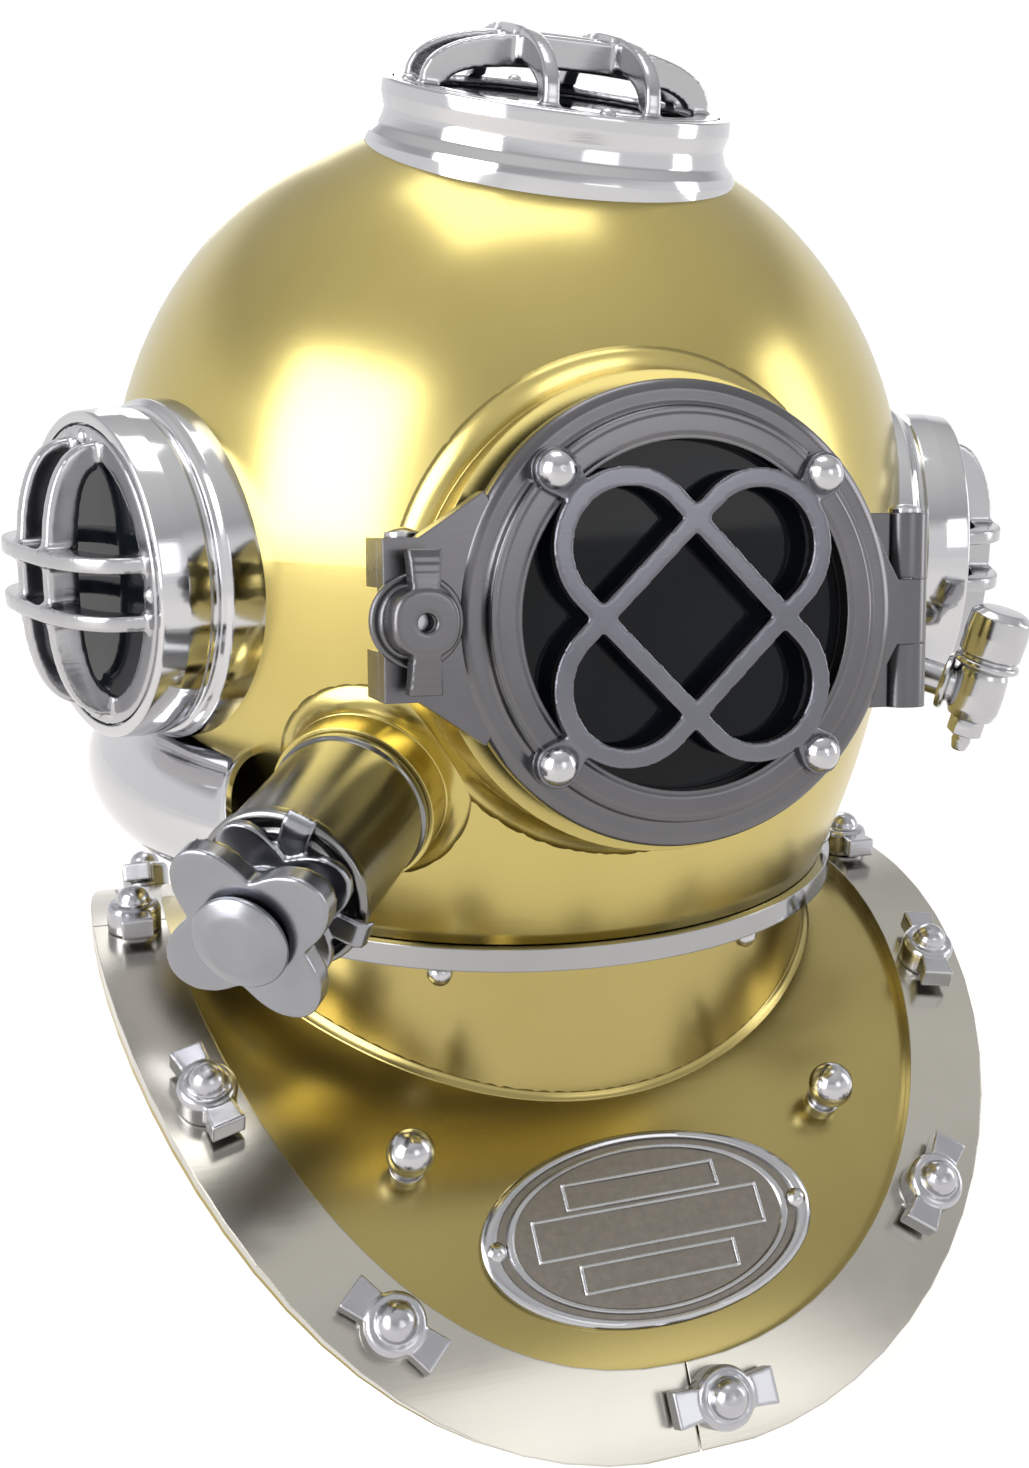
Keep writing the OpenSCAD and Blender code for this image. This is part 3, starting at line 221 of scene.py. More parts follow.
# a roughness, a tone mask and a height that change slowly over a rubbed metal
def makeRubbedGroup():
    group = bpy.data.node_groups.new("rubbed metal", "ShaderNodeTree")
    addSocket(group, "Cloud Size", "INPUT", 14)
    addSocket(group, "Low", "INPUT", 0.2)
    addSocket(group, "High", "INPUT", 0.3)
    for name in ("Roughness", "Cloud", "Height"):
        addSocket(group, name, "OUTPUT")
    tree = group.nodes
    begin = tree.new("NodeGroupInput")
    end = tree.new("NodeGroupOutput")
    place = tree.new("ShaderNodeTexCoord")
    cloud = tree.new("ShaderNodeTexNoise")
    cloud.inputs["Detail"].default_value = rubbing["cloudDetail"]
    cloud.inputs["Roughness"].default_value = rubbing["cloudRough"]
    spread = tree.new("ShaderNodeMapRange")
    for name, value in zip(("From Min", "From Max"), rubbing["cloudRange"]):
        spread.inputs[name].default_value = value
    rubs = tree.new("ShaderNodeMapping")
    rubs.inputs["Scale"].default_value = rubbing["lines"]
    lines = tree.new("ShaderNodeTexNoise")
    lines.inputs["Scale"].default_value = 1
    lines.inputs["Detail"].default_value = rubbing["lineDetail"]
    link = group.links.new
    link(place.outputs["Object"], cloud.inputs["Vector"])
    link(begin.outputs["Cloud Size"], cloud.inputs["Scale"])
    link(cloud.outputs["Fac"], spread.inputs["Value"])
    link(begin.outputs["Low"], spread.inputs["To Min"])
    link(begin.outputs["High"], spread.inputs["To Max"])
    link(spread.outputs[0], end.inputs["Roughness"])
    link(cloud.outputs["Fac"], end.inputs["Cloud"])
    link(place.outputs["Object"], rubs.inputs["Vector"])
    link(rubs.outputs[0], lines.inputs["Vector"])
    link(lines.outputs["Fac"], end.inputs["Height"])
    return group


rubbedGroup = makeRubbedGroup()


def addRubbed(tree, size, low, high):
    rubbed = tree.nodes.new("ShaderNodeGroup")
    rubbed.node_tree = rubbedGroup
    rubbed.inputs["Cloud Size"].default_value = size
    rubbed.inputs["Low"].default_value = low
    rubbed.inputs["High"].default_value = high
    return rubbed


def newMaterial(name):
    material = bpy.data.materials.new(name)
    material.use_nodes = True
    return material, material.node_tree, material.node_tree.nodes["Principled BSDF"]


softEdge = {"radius": 0.0007, "samples": 4}  # edges that catch the light, in metres


# a polished or brushed metal: two tones, a band of roughness and fine rubbing lines
def makeMetal(name, light, dark, low, high, size=14, rub=0.02):
    material, tree, shader = newMaterial(name)
    rubbed = addRubbed(tree, size, low, high)
    tone = tree.nodes.new("ShaderNodeMix")
    tone.data_type = "RGBA"
    tone.inputs[6].default_value = (*dark, 1)  # sockets 6 and 7 are the mix's two colours
    tone.inputs[7].default_value = (*light, 1)
    bump = tree.nodes.new("ShaderNodeBump")
    bump.inputs["Strength"].default_value = rub
    bump.inputs["Distance"].default_value = rubbing["metalDeep"]
    soft = tree.nodes.new("ShaderNodeBevel")
    soft.samples = softEdge["samples"]
    soft.inputs["Radius"].default_value = softEdge["radius"]
    shader.inputs["Metallic"].default_value = 1
    tree.links.new(soft.outputs[0], bump.inputs["Normal"])
    tree.links.new(rubbed.outputs["Cloud"], tone.inputs[0])
    tree.links.new(tone.outputs[2], shader.inputs["Base Color"])
    tree.links.new(rubbed.outputs["Roughness"], shader.inputs["Roughness"])
    tree.links.new(rubbed.outputs["Height"], bump.inputs["Height"])
    tree.links.new(bump.outputs[0], shader.inputs["Normal"])
    return material


# leather or rubber with a fine grain
def makeDull(name, colour, rough, grain=0.1, size=300):
    material, tree, shader = newMaterial(name)
    rubbed = addRubbed(tree, size, rough * 0.85, min(1, rough * 1.15))
    bump = tree.nodes.new("ShaderNodeBump")
    bump.inputs["Strength"].default_value = grain
    bump.inputs["Distance"].default_value = rubbing["dullDeep"]
    shader.inputs["Base Color"].default_value = (*colour, 1)
    tree.links.new(rubbed.outputs["Roughness"], shader.inputs["Roughness"])
    tree.links.new(rubbed.outputs["Cloud"], bump.inputs["Height"])
    tree.links.new(bump.outputs[0], shader.inputs["Normal"])
    return material


def makeGlass(name, colour, gloss, size, low, high):
    material, tree, shader = newMaterial(name)
    rubbed = addRubbed(tree, size, low, high)
    shader.inputs["Base Color"].default_value = (*colour, 1)
    shader.inputs["IOR"].default_value = 1.5
    shader.inputs["Specular IOR Level"].default_value = gloss
    tree.links.new(rubbed.outputs["Roughness"], shader.inputs["Roughness"])
    return material


# name, lighter and darker tone, lowest and highest roughness, size of the clouds, depth of the rubbing
finishes = {
    "brass_dome": makeMetal("satin brass dome", (0.58, 0.485, 0.185), (0.45, 0.365, 0.12),
                            0.20, 0.27, 9, 0.015),
    "brass_plate": makeMetal("satin brass plate", (0.47, 0.39, 0.155), (0.34, 0.275, 0.10),
                             0.21, 0.28, 9, 0.015),
    # the neck ring's grey is darker than the window ring's: painted shade standing in for the dark
    # surroundings that the polished ring mirrors
    "bright_ring": makeMetal("bright neck ring with painted shade", (0.40, 0.40, 0.41), (0.30, 0.30, 0.31), 0.06, 0.12),
    "bright_brail": makeMetal("bright brail", (0.56, 0.54, 0.49), (0.44, 0.42, 0.37), 0.16, 0.26),
    "bright_window": makeMetal("bright window ring", (0.60, 0.60, 0.62), (0.50, 0.50, 0.52),
                               0.06, 0.12),
    "bright_guard": makeMetal("bright cast guard", (0.50, 0.50, 0.52), (0.38, 0.38, 0.40),
                              0.14, 0.24, 40, 0.05),
    "bright_stud": makeMetal("bright stud", (0.56, 0.56, 0.58), (0.44, 0.44, 0.46), 0.12, 0.22, 60),
    "bright_nut": makeMetal("cast wing nut", (0.50, 0.50, 0.53), (0.38, 0.38, 0.41),
                            0.16, 0.28, 60, 0.04),
    "bright_cast": makeMetal("polished casting", (0.54, 0.54, 0.56), (0.42, 0.42, 0.44),
                             0.12, 0.22, 60, 0.03),
    "bright_valve": makeMetal("valve body", (0.28, 0.28, 0.28), (0.18, 0.18, 0.18),
                              0.16, 0.26, 20, 0.04),
    "nickel": makeMetal("dark nickel", (0.18, 0.175, 0.185), (0.11, 0.108, 0.115),
                        0.20, 0.30, 20, 0.03),
    "nickel_guard": makeMetal("dark guard", (0.20, 0.20, 0.23), (0.13, 0.13, 0.15),
                              0.20, 0.30, 30, 0.03),
    "nickel_cast": makeMetal("grey casting", (0.34, 0.345, 0.37), (0.23, 0.235, 0.26),
                             0.18, 0.28, 40, 0.04),
    "plate_bronze": makeMetal("antiqued plate", (0.30, 0.275, 0.24), (0.19, 0.17, 0.145),
                              0.30, 0.42, 400, 0.2),
    "black_rubber": makeDull("black rubber", (0.02, 0.02, 0.02), 0.7),
    "leather": makeDull("oiled leather", (0.16, 0.08, 0.04), 0.6),
    # the window glass lets no light through; its near-black colour is painted shade for the dark
    # inside of the helmet behind it
    "dark_glass": makeGlass("opaque window glass with painted shade", (0.006, 0.008, 0.011), 0.2, 20, 0.02, 0.06),
}


def dressNodes():
    slots = {p["node"]: p["material_slot"] for p in frame["record"]["subparts"]}
    for name, node in nodes.items():
        node.data.materials.clear()
        node.data.materials.append(finishes[slots[name]])


dressNodes()
print("finishes made")


def turned(axis, angle):
    return Matrix.Rotation(math.radians(angle), 4, axis)


def moved(x, y, z):
    return Matrix.Translation((x, y, z))


# where each group of parts stands, in millimetres and degrees, with its z outwards
places = {
    "front": moved(0, -180.5, 149.3) @ turned("X", 82.6) @ turned("Z", -1.8),
    "right": moved(0, 0, 149) @ turned("Z", -70.1) @ turned("X", 90),
    "left": moved(0, 0, 146) @ turned("Z", 73.5) @ turned("X", 90),
    "top": moved(0, 0, 158.6) @ turned("X", 12.4) @ turned("Y", 2.5) @ moved(-3.2, -8.8, 0),
    "valve": turned("Z", -35.3) @ moved(0, -142.5, 88) @ turned("X", 102.6),
    "cock": turned("Z", 50) @ moved(0, -183, 103.5) @ turned("X", 14),
}
dome = {"radius": 150, "middle": 158.6, "flank": 352.06}
breastplate = {"radius": 232.5, "axisZ": -232}


# how far a point stands off the dome's outside
def offDome(point):
    out = math.hypot(point.x, point.y)
    up = point.z - dome["middle"]
    if up > 0:
        return math.hypot(out, up) - dome["radius"]
    return math.hypot(out + dome["flank"] - dome["radius"], up) - dome["flank"]


def domeNormal(point):
    here = offDome(point)
    step = 0.01
    steps = (Vector((step, 0, 0)), Vector((0, step, 0)), Vector((0, 0, step)))
    return Vector([offDome(point + s) - here for s in steps]).normalized()


# the height over a part's own plane at which a line along its z leaves the dome by some gap
def heightOnDome(place, x, y, gap, low=60, high=240, halvings=30):
    for _ in range(halvings):
        half = (low + high) / 2
        if offDome(place @ Vector((x, y, half))) < gap:
            low = half
        else:
            high = half
    return high


def vertsOf(geometry):
    return [g for g in geometry if isinstance(g, bmesh.types.BMVert)]


# spins a profile of (radius, height) points about z
def spinShape(profile, steps=96, closed=True):
    bm = bmesh.new()
    points = [bm.verts.new((r, 0, z)) for r, z in profile]
    for a, b in zip(points, points[1:] + points[:1] if closed else points[1:]):
        bm.edges.new((a, b))
    bmesh.ops.spin(bm, geom=bm.verts[:] + bm.edges[:], axis=(0, 0, 1), cent=(0, 0, 0),
                   steps=steps, angle=math.tau, use_merge=True)
    bmesh.ops.remove_doubles(bm, verts=bm.verts, dist=0.001)
    return bm


# rounds the corners (x, y, radius) of an outline, with no cut past half of a side
def rounded(corners, steps=5):
    points = []
    for k, (x, y, radius) in enumerate(corners):
        here = Vector((x, y))
        if radius == 0:
            points.append((x, y))
            continue
        before = Vector(corners[k - 1][:2]) - here
        after = Vector(corners[(k + 1) % len(corners)][:2]) - here
        cut = radius / math.tan(before.angle(after) / 2)
        cut = min(cut, before.length * 0.49, after.length * 0.49)
        start = here + before.normalized() * cut
        end = here + after.normalized() * cut
        for j in range(steps + 1):
            t = j / steps
            points.append(tuple(start * (1 - t) ** 2 + here * 2 * t * (1 - t) + end * t * t))
    return points


def addBlock(bm, low, high):
    made = bmesh.ops.create_cube(bm, size=1)["verts"]
    middle = [(a + b) / 2 for a, b in zip(low, high)]
    bmesh.ops.scale(bm, vec=[b - a for a, b in zip(low, high)], verts=made)
    bmesh.ops.translate(bm, vec=middle, verts=made)
    return made


def addShape(bm, other, place=None):
    if place:
        bmesh.ops.transform(other, matrix=place, verts=other.verts)
    mesh = bpy.data.meshes.new("part of a piece")
    other.to_mesh(mesh)
    other.free()
    bm.from_mesh(mesh)
    bpy.data.meshes.remove(mesh)


# makes a flat shape thick, along one direction
def thicken(bm, along):
    up = bmesh.ops.extrude_face_region(bm, geom=bm.faces[:])["geom"]
    bmesh.ops.translate(bm, vec=along, verts=vertsOf(up))


# melts overlapping shapes into one casting with soft edges and fillets
def castFrom(bm, voxel, rounds):
    mesh = bpy.data.meshes.new("pattern")
    bmesh.ops.recalc_face_normals(bm, faces=bm.faces)
    bm.to_mesh(mesh)
    bm.free()
    pattern = bpy.data.objects.new("pattern", mesh)
    bpy.context.scene.collection.objects.link(pattern)
    melt = pattern.modifiers.new("melt", "REMESH")
    melt.mode = "VOXEL"
    melt.voxel_size = voxel
    rub = pattern.modifiers.new("rub", "SMOOTH")
    rub.iterations = rounds
    rub.factor = 0.5
    bpy.context.view_layer.update()
    done = pattern.evaluated_get(bpy.context.evaluated_depsgraph_get())
    casting = bmesh.new()
    casting.from_mesh(done.to_mesh())
    done.to_mesh_clear()
    bpy.data.objects.remove(pattern)
    bpy.data.meshes.remove(mesh)
    return casting


# a copy of a CAD node's mesh in millimetres, with its loose triangles joined
def copyNode(name):
    bm = bmesh.new()
    bm.from_mesh(nodes[name].data)
    bmesh.ops.remove_doubles(bm, verts=bm.verts, dist=1e-6)
    bmesh.ops.scale(bm, vec=(1000, 1000, 1000), verts=bm.verts)
    return bm


# puts a shape in its place, in metres, and gives it its finish, its body and what it stands for
def finishPiece(name, bm, slot, body, stands=(), place=None, angle=35):
    if place:
        bmesh.ops.transform(bm, matrix=place, verts=bm.verts)
    bmesh.ops.remove_doubles(bm, verts=bm.verts, dist=0.002)
    bmesh.ops.recalc_face_normals(bm, faces=bm.faces)
    bmesh.ops.scale(bm, vec=(0.001, 0.001, 0.001), verts=bm.verts)
    mesh = bpy.data.meshes.new(name)
    bm.to_mesh(mesh)
    bm.free()
    mesh.shade_smooth()
    mesh.set_sharp_from_angle(angle=math.radians(angle))
    mesh.materials.append(finishes[slot])
    piece = bpy.data.objects.new(name, mesh)
    bpy.context.scene.collection.objects.link(piece)
    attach(piece, body)
    if stands:
        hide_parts(*stands)


# the skin that a ball leaves as it rolls round between two surfaces; restOn says where the ball
# lies at a turn, and which ways it touches the first and the second surface
def rollBall(ballR, gap, steps, segments, restOn, inside=10):
    bm = spinShape([(inside + j, 0) for j in range(steps + 2)], segments)
    for vert in bm.verts:
        j = round(math.hypot(vert.co.x, vert.co.y)) - inside
        ball, first, second = restOn(math.atan2(vert.co.y, vert.co.x))
        if j > steps:
            middle = (first + second).normalized()
            vert.co = ball + middle * (ballR / max(0.3, middle.dot(second)) + 0.5)
        else:
            vert.co = ball + first.slerp(second, j / steps) * (ballR + gap)
    return bm


# brass fillets where the bosses grow out of the dome
fillets = {
    "front_boss_fillet": {"place": "front", "bossR": 73, "ballR": 13},
    "exhaust_boss_fillet": {"place": "valve", "bossR": 27, "ballR": 8},
}


def makeFillet(name):
    ballR = fillets[name]["ballR"]
    place = places[fillets[name]["place"]]

    def restOn(turn):
        out = fillets[name]["bossR"] + ballR
        x, y = out * math.cos(turn), out * math.sin(turn)
        ball = place @ Vector((x, y, heightOnDome(place, x, y, ballR, -150, 60)))
        towardBoss = place.to_3x3() @ Vector((math.cos(turn), math.sin(turn), 0))
        return ball, -domeNormal(ball), -towardBoss

    finishPiece(name, rollBall(ballR, 0.04, 8, 144, restOn), "brass_dome", "bonnet")


for name in fillets:
    makeFillet(name)
print("fillets made")

wingNut = {
    "hub": [(0, 0), (9.8, 0), (9.9, 8.6), (9.0, 10.4), (7.4, 10.9), (6.7, 10.4), (6.3, 10.2),
            (6.3, 11.4), (5.9, 13.2), (4.8, 15.0), (3, 16.3), (0, 16.9)],
    "wing": {"from": 3, "to": 17.2, "low": 2.2, "top": 9.8, "wide": 4.3, "endWide": 5.8},
    "voxel": 0.5, "rounds": 3, "seat": 238.1,
}
studs = {
    "turns": (2.3, -35.2, -64.1, -89, -114, -144, 180, 144, 114, 89.4, 69.2, 40.1),
    "power": 2.2, "halfWide": 151, "halfLong": 230, "headWide": 166, "headLong": 245,
}


# a stud's place on the bent breastplate, at some radius, with y along the rim
def studPlace(step, r):
    turn = math.radians(studs["turns"][step])
    side = math.copysign(1, math.sin(turn))
    back = math.copysign(1, math.cos(turn))
    power = 2 / studs["power"]
    x = side * studs["halfWide"] * abs(math.sin(turn)) ** power
    along = back * studs["halfLong"] * abs(math.cos(turn)) ** power
    angle = math.degrees(along / breastplate["radius"])
    wide = studs["headWide"] * abs(math.cos(turn)) ** (2 - power)
    long = studs["headLong"] * abs(math.sin(turn)) ** (2 - power)
    heading = side * back * math.degrees(math.atan2(long, wide))
    return (moved(x, 0, breastplate["axisZ"]) @ turned("X", angle)
            @ moved(0, 0, r) @ turned("Z", heading))


def makeWingNuts():
    wing = wingNut["wing"]
    bm = spinShape(wingNut["hub"], 48)
    for side in (-1, 1):
        block = addBlock(bm, (wing["from"], -wing["wide"], wing["low"]),
                         (wing["to"], wing["wide"], wing["top"]))
        for vert in block:
            if vert.co.x > wing["from"] + 1:
                vert.co.y *= wing["endWide"] / wing["wide"]
            vert.co.x *= side
    pattern = castFrom(bm, wingNut["voxel"], wingNut["rounds"])
    for step in range(len(studs["turns"])):
        name = "wing_nut_%d" % (step + 1)
        finishPiece("cast_" + name, pattern.copy(), "bright_nut", name, [name],
                    studPlace(step, wingNut["seat"]), 60)
    pattern.free()


makeWingNuts()
print("wing nuts made")

# the exhaust valve's handwheel: two four-lobed stars, a hub and four leaf-shaped prongs
handwheel = {
    "stars": [{"lobe": 29, "valley": 17.5, "back": 82.2, "thick": 7, "turn": 33},
              {"lobe": 26, "valley": 15, "back": 68.4, "thick": 3.2, "turn": 24}],
    "hub": [(3.7, 63.6), (11.8, 63.6), (12, 64.5), (16, 65.5), (16.5, 67), (16, 69.4),
            (12.4, 70.4), (11.6, 72), (11.6, 80), (13, 83.5), (13, 85), (3.7, 85)],
    "prong": {"path": [(8, 70), (25.3, 70), (27.5, 69.1), (28.3, 67), (28.3, 36)],
              "turn": 68, "wide": 9, "thick": 2.4, "taper": 18},
    "voxel": 0.6, "rounds": 3,
}


def addStar(bm, star):
    shape = bmesh.new()
    bmesh.ops.create_circle(shape, cap_ends=True, radius=1, segments=144)
    for vert in shape.verts:
        turn = math.atan2(vert.co.y, vert.co.x)
        wave = (1 + math.cos(4 * (turn - math.radians(star["turn"])))) / 2
        r = star["valley"] + (star["lobe"] - star["valley"]) * wave ** 0.7
        vert.co = Vector((r * math.cos(turn), r * math.sin(turn), star["back"]))
    thicken(shape, (0, 0, star["thick"]))
    addShape(bm, shape)


def addProng(bm, turn):
    prong = handwheel["prong"]
    path = prong["path"]
    reach = [0]
    for a, b in zip(path, path[1:]):
        reach.append(reach[-1] + math.dist(a, b))
    leaf = bmesh.new()
    bmesh.ops.create_grid(leaf, x_segments=24, y_segments=4, size=0.5)
    for vert in leaf.verts:
        along = (vert.co.x + 0.5) * reach[-1]
        k = max(j for j in range(len(path) - 1) if reach[j] <= along + 1e-9)
        t = (along - reach[k]) / (reach[k + 1] - reach[k])
        r, z = (a + (b - a) * t for a, b in zip(path[k], path[k + 1]))
        toTip = min(1, (reach[-1] - along) / prong["taper"])
        wide = prong["wide"] * (1 if toTip == 1 else math.sin(toTip * math.pi / 2) ** 0.8 + 0.04)
        vert.co = Vector((r, vert.co.y * wide, z))
    bmesh.ops.solidify(leaf, geom=leaf.faces[:], thickness=prong["thick"])
    addShape(bm, leaf, turned("Z", turn))


def makeHandwheel():
    bm = bmesh.new()
    for star in handwheel["stars"]:
        addStar(bm, star)
    addShape(bm, spinShape(handwheel["hub"], 64))
    for k in range(4):
        addProng(bm, handwheel["prong"]["turn"] + 90 * k)
    finishPiece("cast_handwheel", castFrom(bm, handwheel["voxel"], handwheel["rounds"]),
                "nickel_cast", "exhaust_handwheel", ["exhaust_handwheel"], places["valve"], 60)


makeHandwheel()

# the button and its stem run through the handwheel
button = [(0, 15, 0), (3.45, 15, 0), (3.45, 90.6, 0), (12.6, 90.6, 0.4), (14.2, 91.4, 0.6),
          (14.2, 93.0, 1.2), (9, 95.2, 6), (0, 95.5, 0)]
finishPiece("turned_exhaust_button", spinShape(rounded(button), 96, False), "nickel_cast",
            "exhaust_stem", ["exhaust_stem"], places["valve"])
print("handwheel made")

# side and top windows: rings that stand on the dome; the skins give how far each corner stands
# outside the ring's radius and under its rim, and how much it is rounded
windowRings = {
    "right": {"r": 53.3, "rim": 171.9, "skin": "band"},
    "left": {"r": 51.5, "rim": 168.3, "skin": "band"},
    "top": {"r": 60.9, "rim": 155.3, "skin": "waist"},
}
ringSkins = {
    "band": [(3.4, -22, 0.9), (2.0, -20.6, 0.5), (1.3, -19.2, 0.5), (-0.2, -18.6, 0.4),
             (-0.3, -17.0, 0.5), (0.7, -16.0, 0.8), (0.9, -8.8, 5), (0, 0, 1.4)],
    "waist": [(4.6, -20.6, 1), (3.4, -17.9, 1), (0.5, -15.0, 3), (-1.2, -10.2, 4),
              (0.3, -4.9, 2.5), (0, 0, 1.4)],
}
ringSteps = {"bore": 11, "glass": 7.2, "glassDeep": 10.54, "guard": 3.7, "guardDeep": 3, "foot": 100}


def makeWindowRing(side):
    r, rim = windowRings[side]["r"], windowRings[side]["rim"]
    bore, glass, guard = (r - ringSteps[k] for k in ("bore", "glass", "guard"))
    glassZ, guardZ = rim - ringSteps["glassDeep"], rim - ringSteps["guardDeep"]
    foot = ringSteps["foot"]
    skin = [(r + out, rim + up, bend) for out, up, bend in ringSkins[windowRings[side]["skin"]]]
    corners = [(bore, foot, 0), (skin[0][0], foot, 0)] + skin
    corners += [(guard, rim, 0.4), (guard, guardZ, 0.1), (glass, guardZ, 0.2)]
    corners += [(glass, glassZ, 0.1), (bore, glassZ, 0.2)]
    bm = spinShape(rounded(corners), 128)
    for vert in bm.verts:
        if vert.co.z < foot + 0.01:
            vert.co.z = heightOnDome(places[side], vert.co.x, vert.co.y, -0.5)
    name = side + "_window_ring"
    finishPiece("turned_" + name, bm, "bright_window", "bonnet", [name], places[side])


# cage guards: a flat ring and two pairs of blades that rise out of it
guards = {
    "gap": 4.3, "plateWide": 8.4, "plateLow": -2.9, "plateTop": 0.1,
    "blade": {"thick": 5.2, "foot": 8.5, "power": 2.5, "depth": 10.5, "sunk": 0.4},
    "rise": 19.6, "crossRise": 22, "longIn": 4.8,
    "right": {"turn": 90, "long": 10.5, "cross": 9, "crossIn": 6},
    "left": {"turn": 90, "long": 10.5, "cross": 9, "crossIn": 6},
    "top": {"turn": 0, "long": 11, "cross": 17.5, "crossIn": 8.5},
    "voxel": 0.85, "rounds": 4,
}


# a blade is an arch with flat flanks; its lower half is the hollow under the arch
def addBlade(bm, reach, rise, offset, turn):
    blade = guards["blade"]
    power = 2 / blade["power"]
    leaf = bmesh.new()
    bmesh.ops.create_circle(leaf, cap_ends=True, radius=1, segments=80)
    for vert in leaf.verts:
        across, up = vert.co.x, vert.co.y
        wide, high = reach, rise
        if up < -1e-6:
            wide, high = reach - blade["foot"], rise - blade["depth"]
        x = math.copysign(wide * abs(across) ** power, across)
        vert.co = Vector((x, 0, high * abs(up) ** power - blade["sunk"]))
    thicken(leaf, (0, blade["thick"], 0))
    bmesh.ops.translate(leaf, vec=(0, offset - blade["thick"] / 2, 0), verts=leaf.verts)
    addShape(bm, leaf, turned("Z", turn))


def makeGuard(side):
    size = guards[side]
    out = windowRings[side]["r"] - guards["gap"]
    inner = out - guards["plateWide"]
    low, top = guards["plateLow"], guards["plateTop"]
    bm = spinShape([(inner, low), (out, low), (out, top), (inner, top)], 96)
    for way in (-1, 1):
        addBlade(bm, out - guards["longIn"], guards["rise"], way * size["long"], size["turn"])
        addBlade(bm, out - size["crossIn"], guards["crossRise"], way * size["cross"],
                 size["turn"] + 90)
    name = side + "_window_guard"
    finishPiece("cast_" + name, castFrom(bm, guards["voxel"], guards["rounds"]), "bright_guard",
                "bonnet", [name], places[side] @ moved(0, 0, windowRings[side]["rim"]), 60)


for side in ("right", "left", "top"):
    makeWindowRing(side)
    makeGuard(side)

# the looped guard of the front window is the CAD shape with its edges melted
finishPiece("cast_door_guard", castFrom(copyNode("door_guard"), 0.6, 3), "nickel_guard", "door",
            ["door_guard"], None, 60)
print("window rings and guards made")

# the door's rounded flange and bezel, over the plain frame
doorFace = [(52.0, -5.2, 0), (52.0, -0.2, 0.8), (53.6, 0.4, 1.2), (58.6, 0.4, 1.6),
            (60.9, -1.0, 1.2), (61.2, -3.4, 1.0), (62.6, -4.2, 1.2), (66.0, -3.9, 2.0),
            (69.2, -5.4, 3.0), (69.2, -12.2, 0.8), (68.2, -12.9, 0), (60, -12.9, 0)]
finishPiece("turned_door_face", spinShape(rounded(doorFace), 144), "nickel", "door", (),
            places["front"], 30)

# name plate: a bent oval with a double border and three empty raised frames; skin and rims are
# (share of the oval, height), frames are (x, y, half width, half height)
namePlate = {
    "halfWide": 58.5, "halfHigh": 32, "angle": 43,
    "skin": [(0, 2.1), (0.95, 2.1), (0.96, 0.3), (0.5, 0.3), (0, 0.3)],
    "rims": [[(0.80, 1.9), (0.815, 2.9), (0.845, 2.9), (0.86, 1.9)],
             [(0.90, 1.9), (0.915, 3.3), (0.94, 3.75), (0.975, 3.5), (0.998, 2.6), (1.0, 0.3),
              (0.955, 0.3)]],
    "frames": [(0, 13.5, 27, 4.2), (0, 0.8, 40, 6.4), (0, -13.5, 27, 4.2)],
    "bar": {"half": 0.55, "low": 1.9, "top": 2.9, "less": 0.02},
}


def bendOnPlate(bm):
    for vert in bm.verts:
        turn = math.radians(namePlate["angle"]) - vert.co.y / breastplate["radius"]
        r = breastplate["radius"] + vert.co.z
        z = breastplate["axisZ"] + r * math.cos(turn)
        vert.co = Vector((vert.co.x, -r * math.sin(turn), z))


def spinOval(profile, closed):
    whole = 100
    wide, high = namePlate["halfWide"] / whole, namePlate["halfHigh"] / whole
    bm = spinShape([(whole * r, z) for r, z in profile], 128, closed)
    bmesh.ops.scale(bm, vec=(wide, high, 1), verts=bm.verts)
    return bm


# four bars; the upright ones are a little lower and shorter, so that no two faces coincide
def addFrame(bm, x, y, halfWide, halfHigh):
    half, low, top, less = (namePlate["bar"][k] for k in ("half", "low", "top", "less"))
    upright = halfHigh + half - less / 2
    for side in (-1, 1):
        edge = y + side * halfHigh
        addBlock(bm, (x - halfWide, edge - half, low), (x + halfWide, edge + half, top))
        edge = x + side * halfWide
        addBlock(bm, (edge - half, y - upright, low), (edge + half, y + upright, top - less))


def makeNamePlate():
    plate = spinOval(namePlate["skin"], False)
    bendOnPlate(plate)
    finishPiece("pressed_name_plate", plate, "plate_bronze", "breastplate", ["name_plate"],
                None, 25)
    raised = bmesh.new()
    for rim in namePlate["rims"]:
        addShape(raised, spinOval(rim, True))
    for place in namePlate["frames"]:
        addFrame(raised, *place)
    bendOnPlate(raised)
    finishPiece("name_plate_border", raised, "bright_cast", "breastplate", (), None, 40)


makeNamePlate()
print("name plate made")

# latch nut: washer foot, squarish hub and two wings that curve back
latchNut = {
    "hub": [(5.4, 0), (13.5, 0), (13.5, 2.0), (12.9, 2.7), (12.0, 2.7), (11.4, 2.2), (10.2, 2.4),
            (9.6, 4), (9.4, 13.46), (8.6, 14.46), (2.6, 14.46), (2.6, 10.46), (5.4, 9.46)],
    "square": {"over": 3, "outside": 8, "more": 0.06},
    "wing": {"from": 6, "to": 20, "steps": 6, "step": 2.34, "overlap": 0.4, "wide": 3.6,
             "endWide": 4.6, "low": 6.46, "lowDrop": 0.6, "top": 13.96, "topDrop": 1.6},
    "place": (-81, 0, -4.96), "voxel": 0.5, "rounds": 3,
}


def addLatchWing(bm, side):
    wing = latchNut["wing"]
    for step in range(wing["steps"]):
        out = step / (wing["steps"] - 1)
        near = wing["from"] + step * wing["step"]
        far = min(near + wing["step"] + wing["overlap"], wing["to"])
        wide = wing["wide"] + (wing["endWide"] - wing["wide"]) * out
        low, high = sorted((side * near, side * far))
        addBlock(bm, (-wide, low, wing["low"] - wing["lowDrop"] * out),
                 (wide, high, wing["top"] - wing["topDrop"] * out * out))


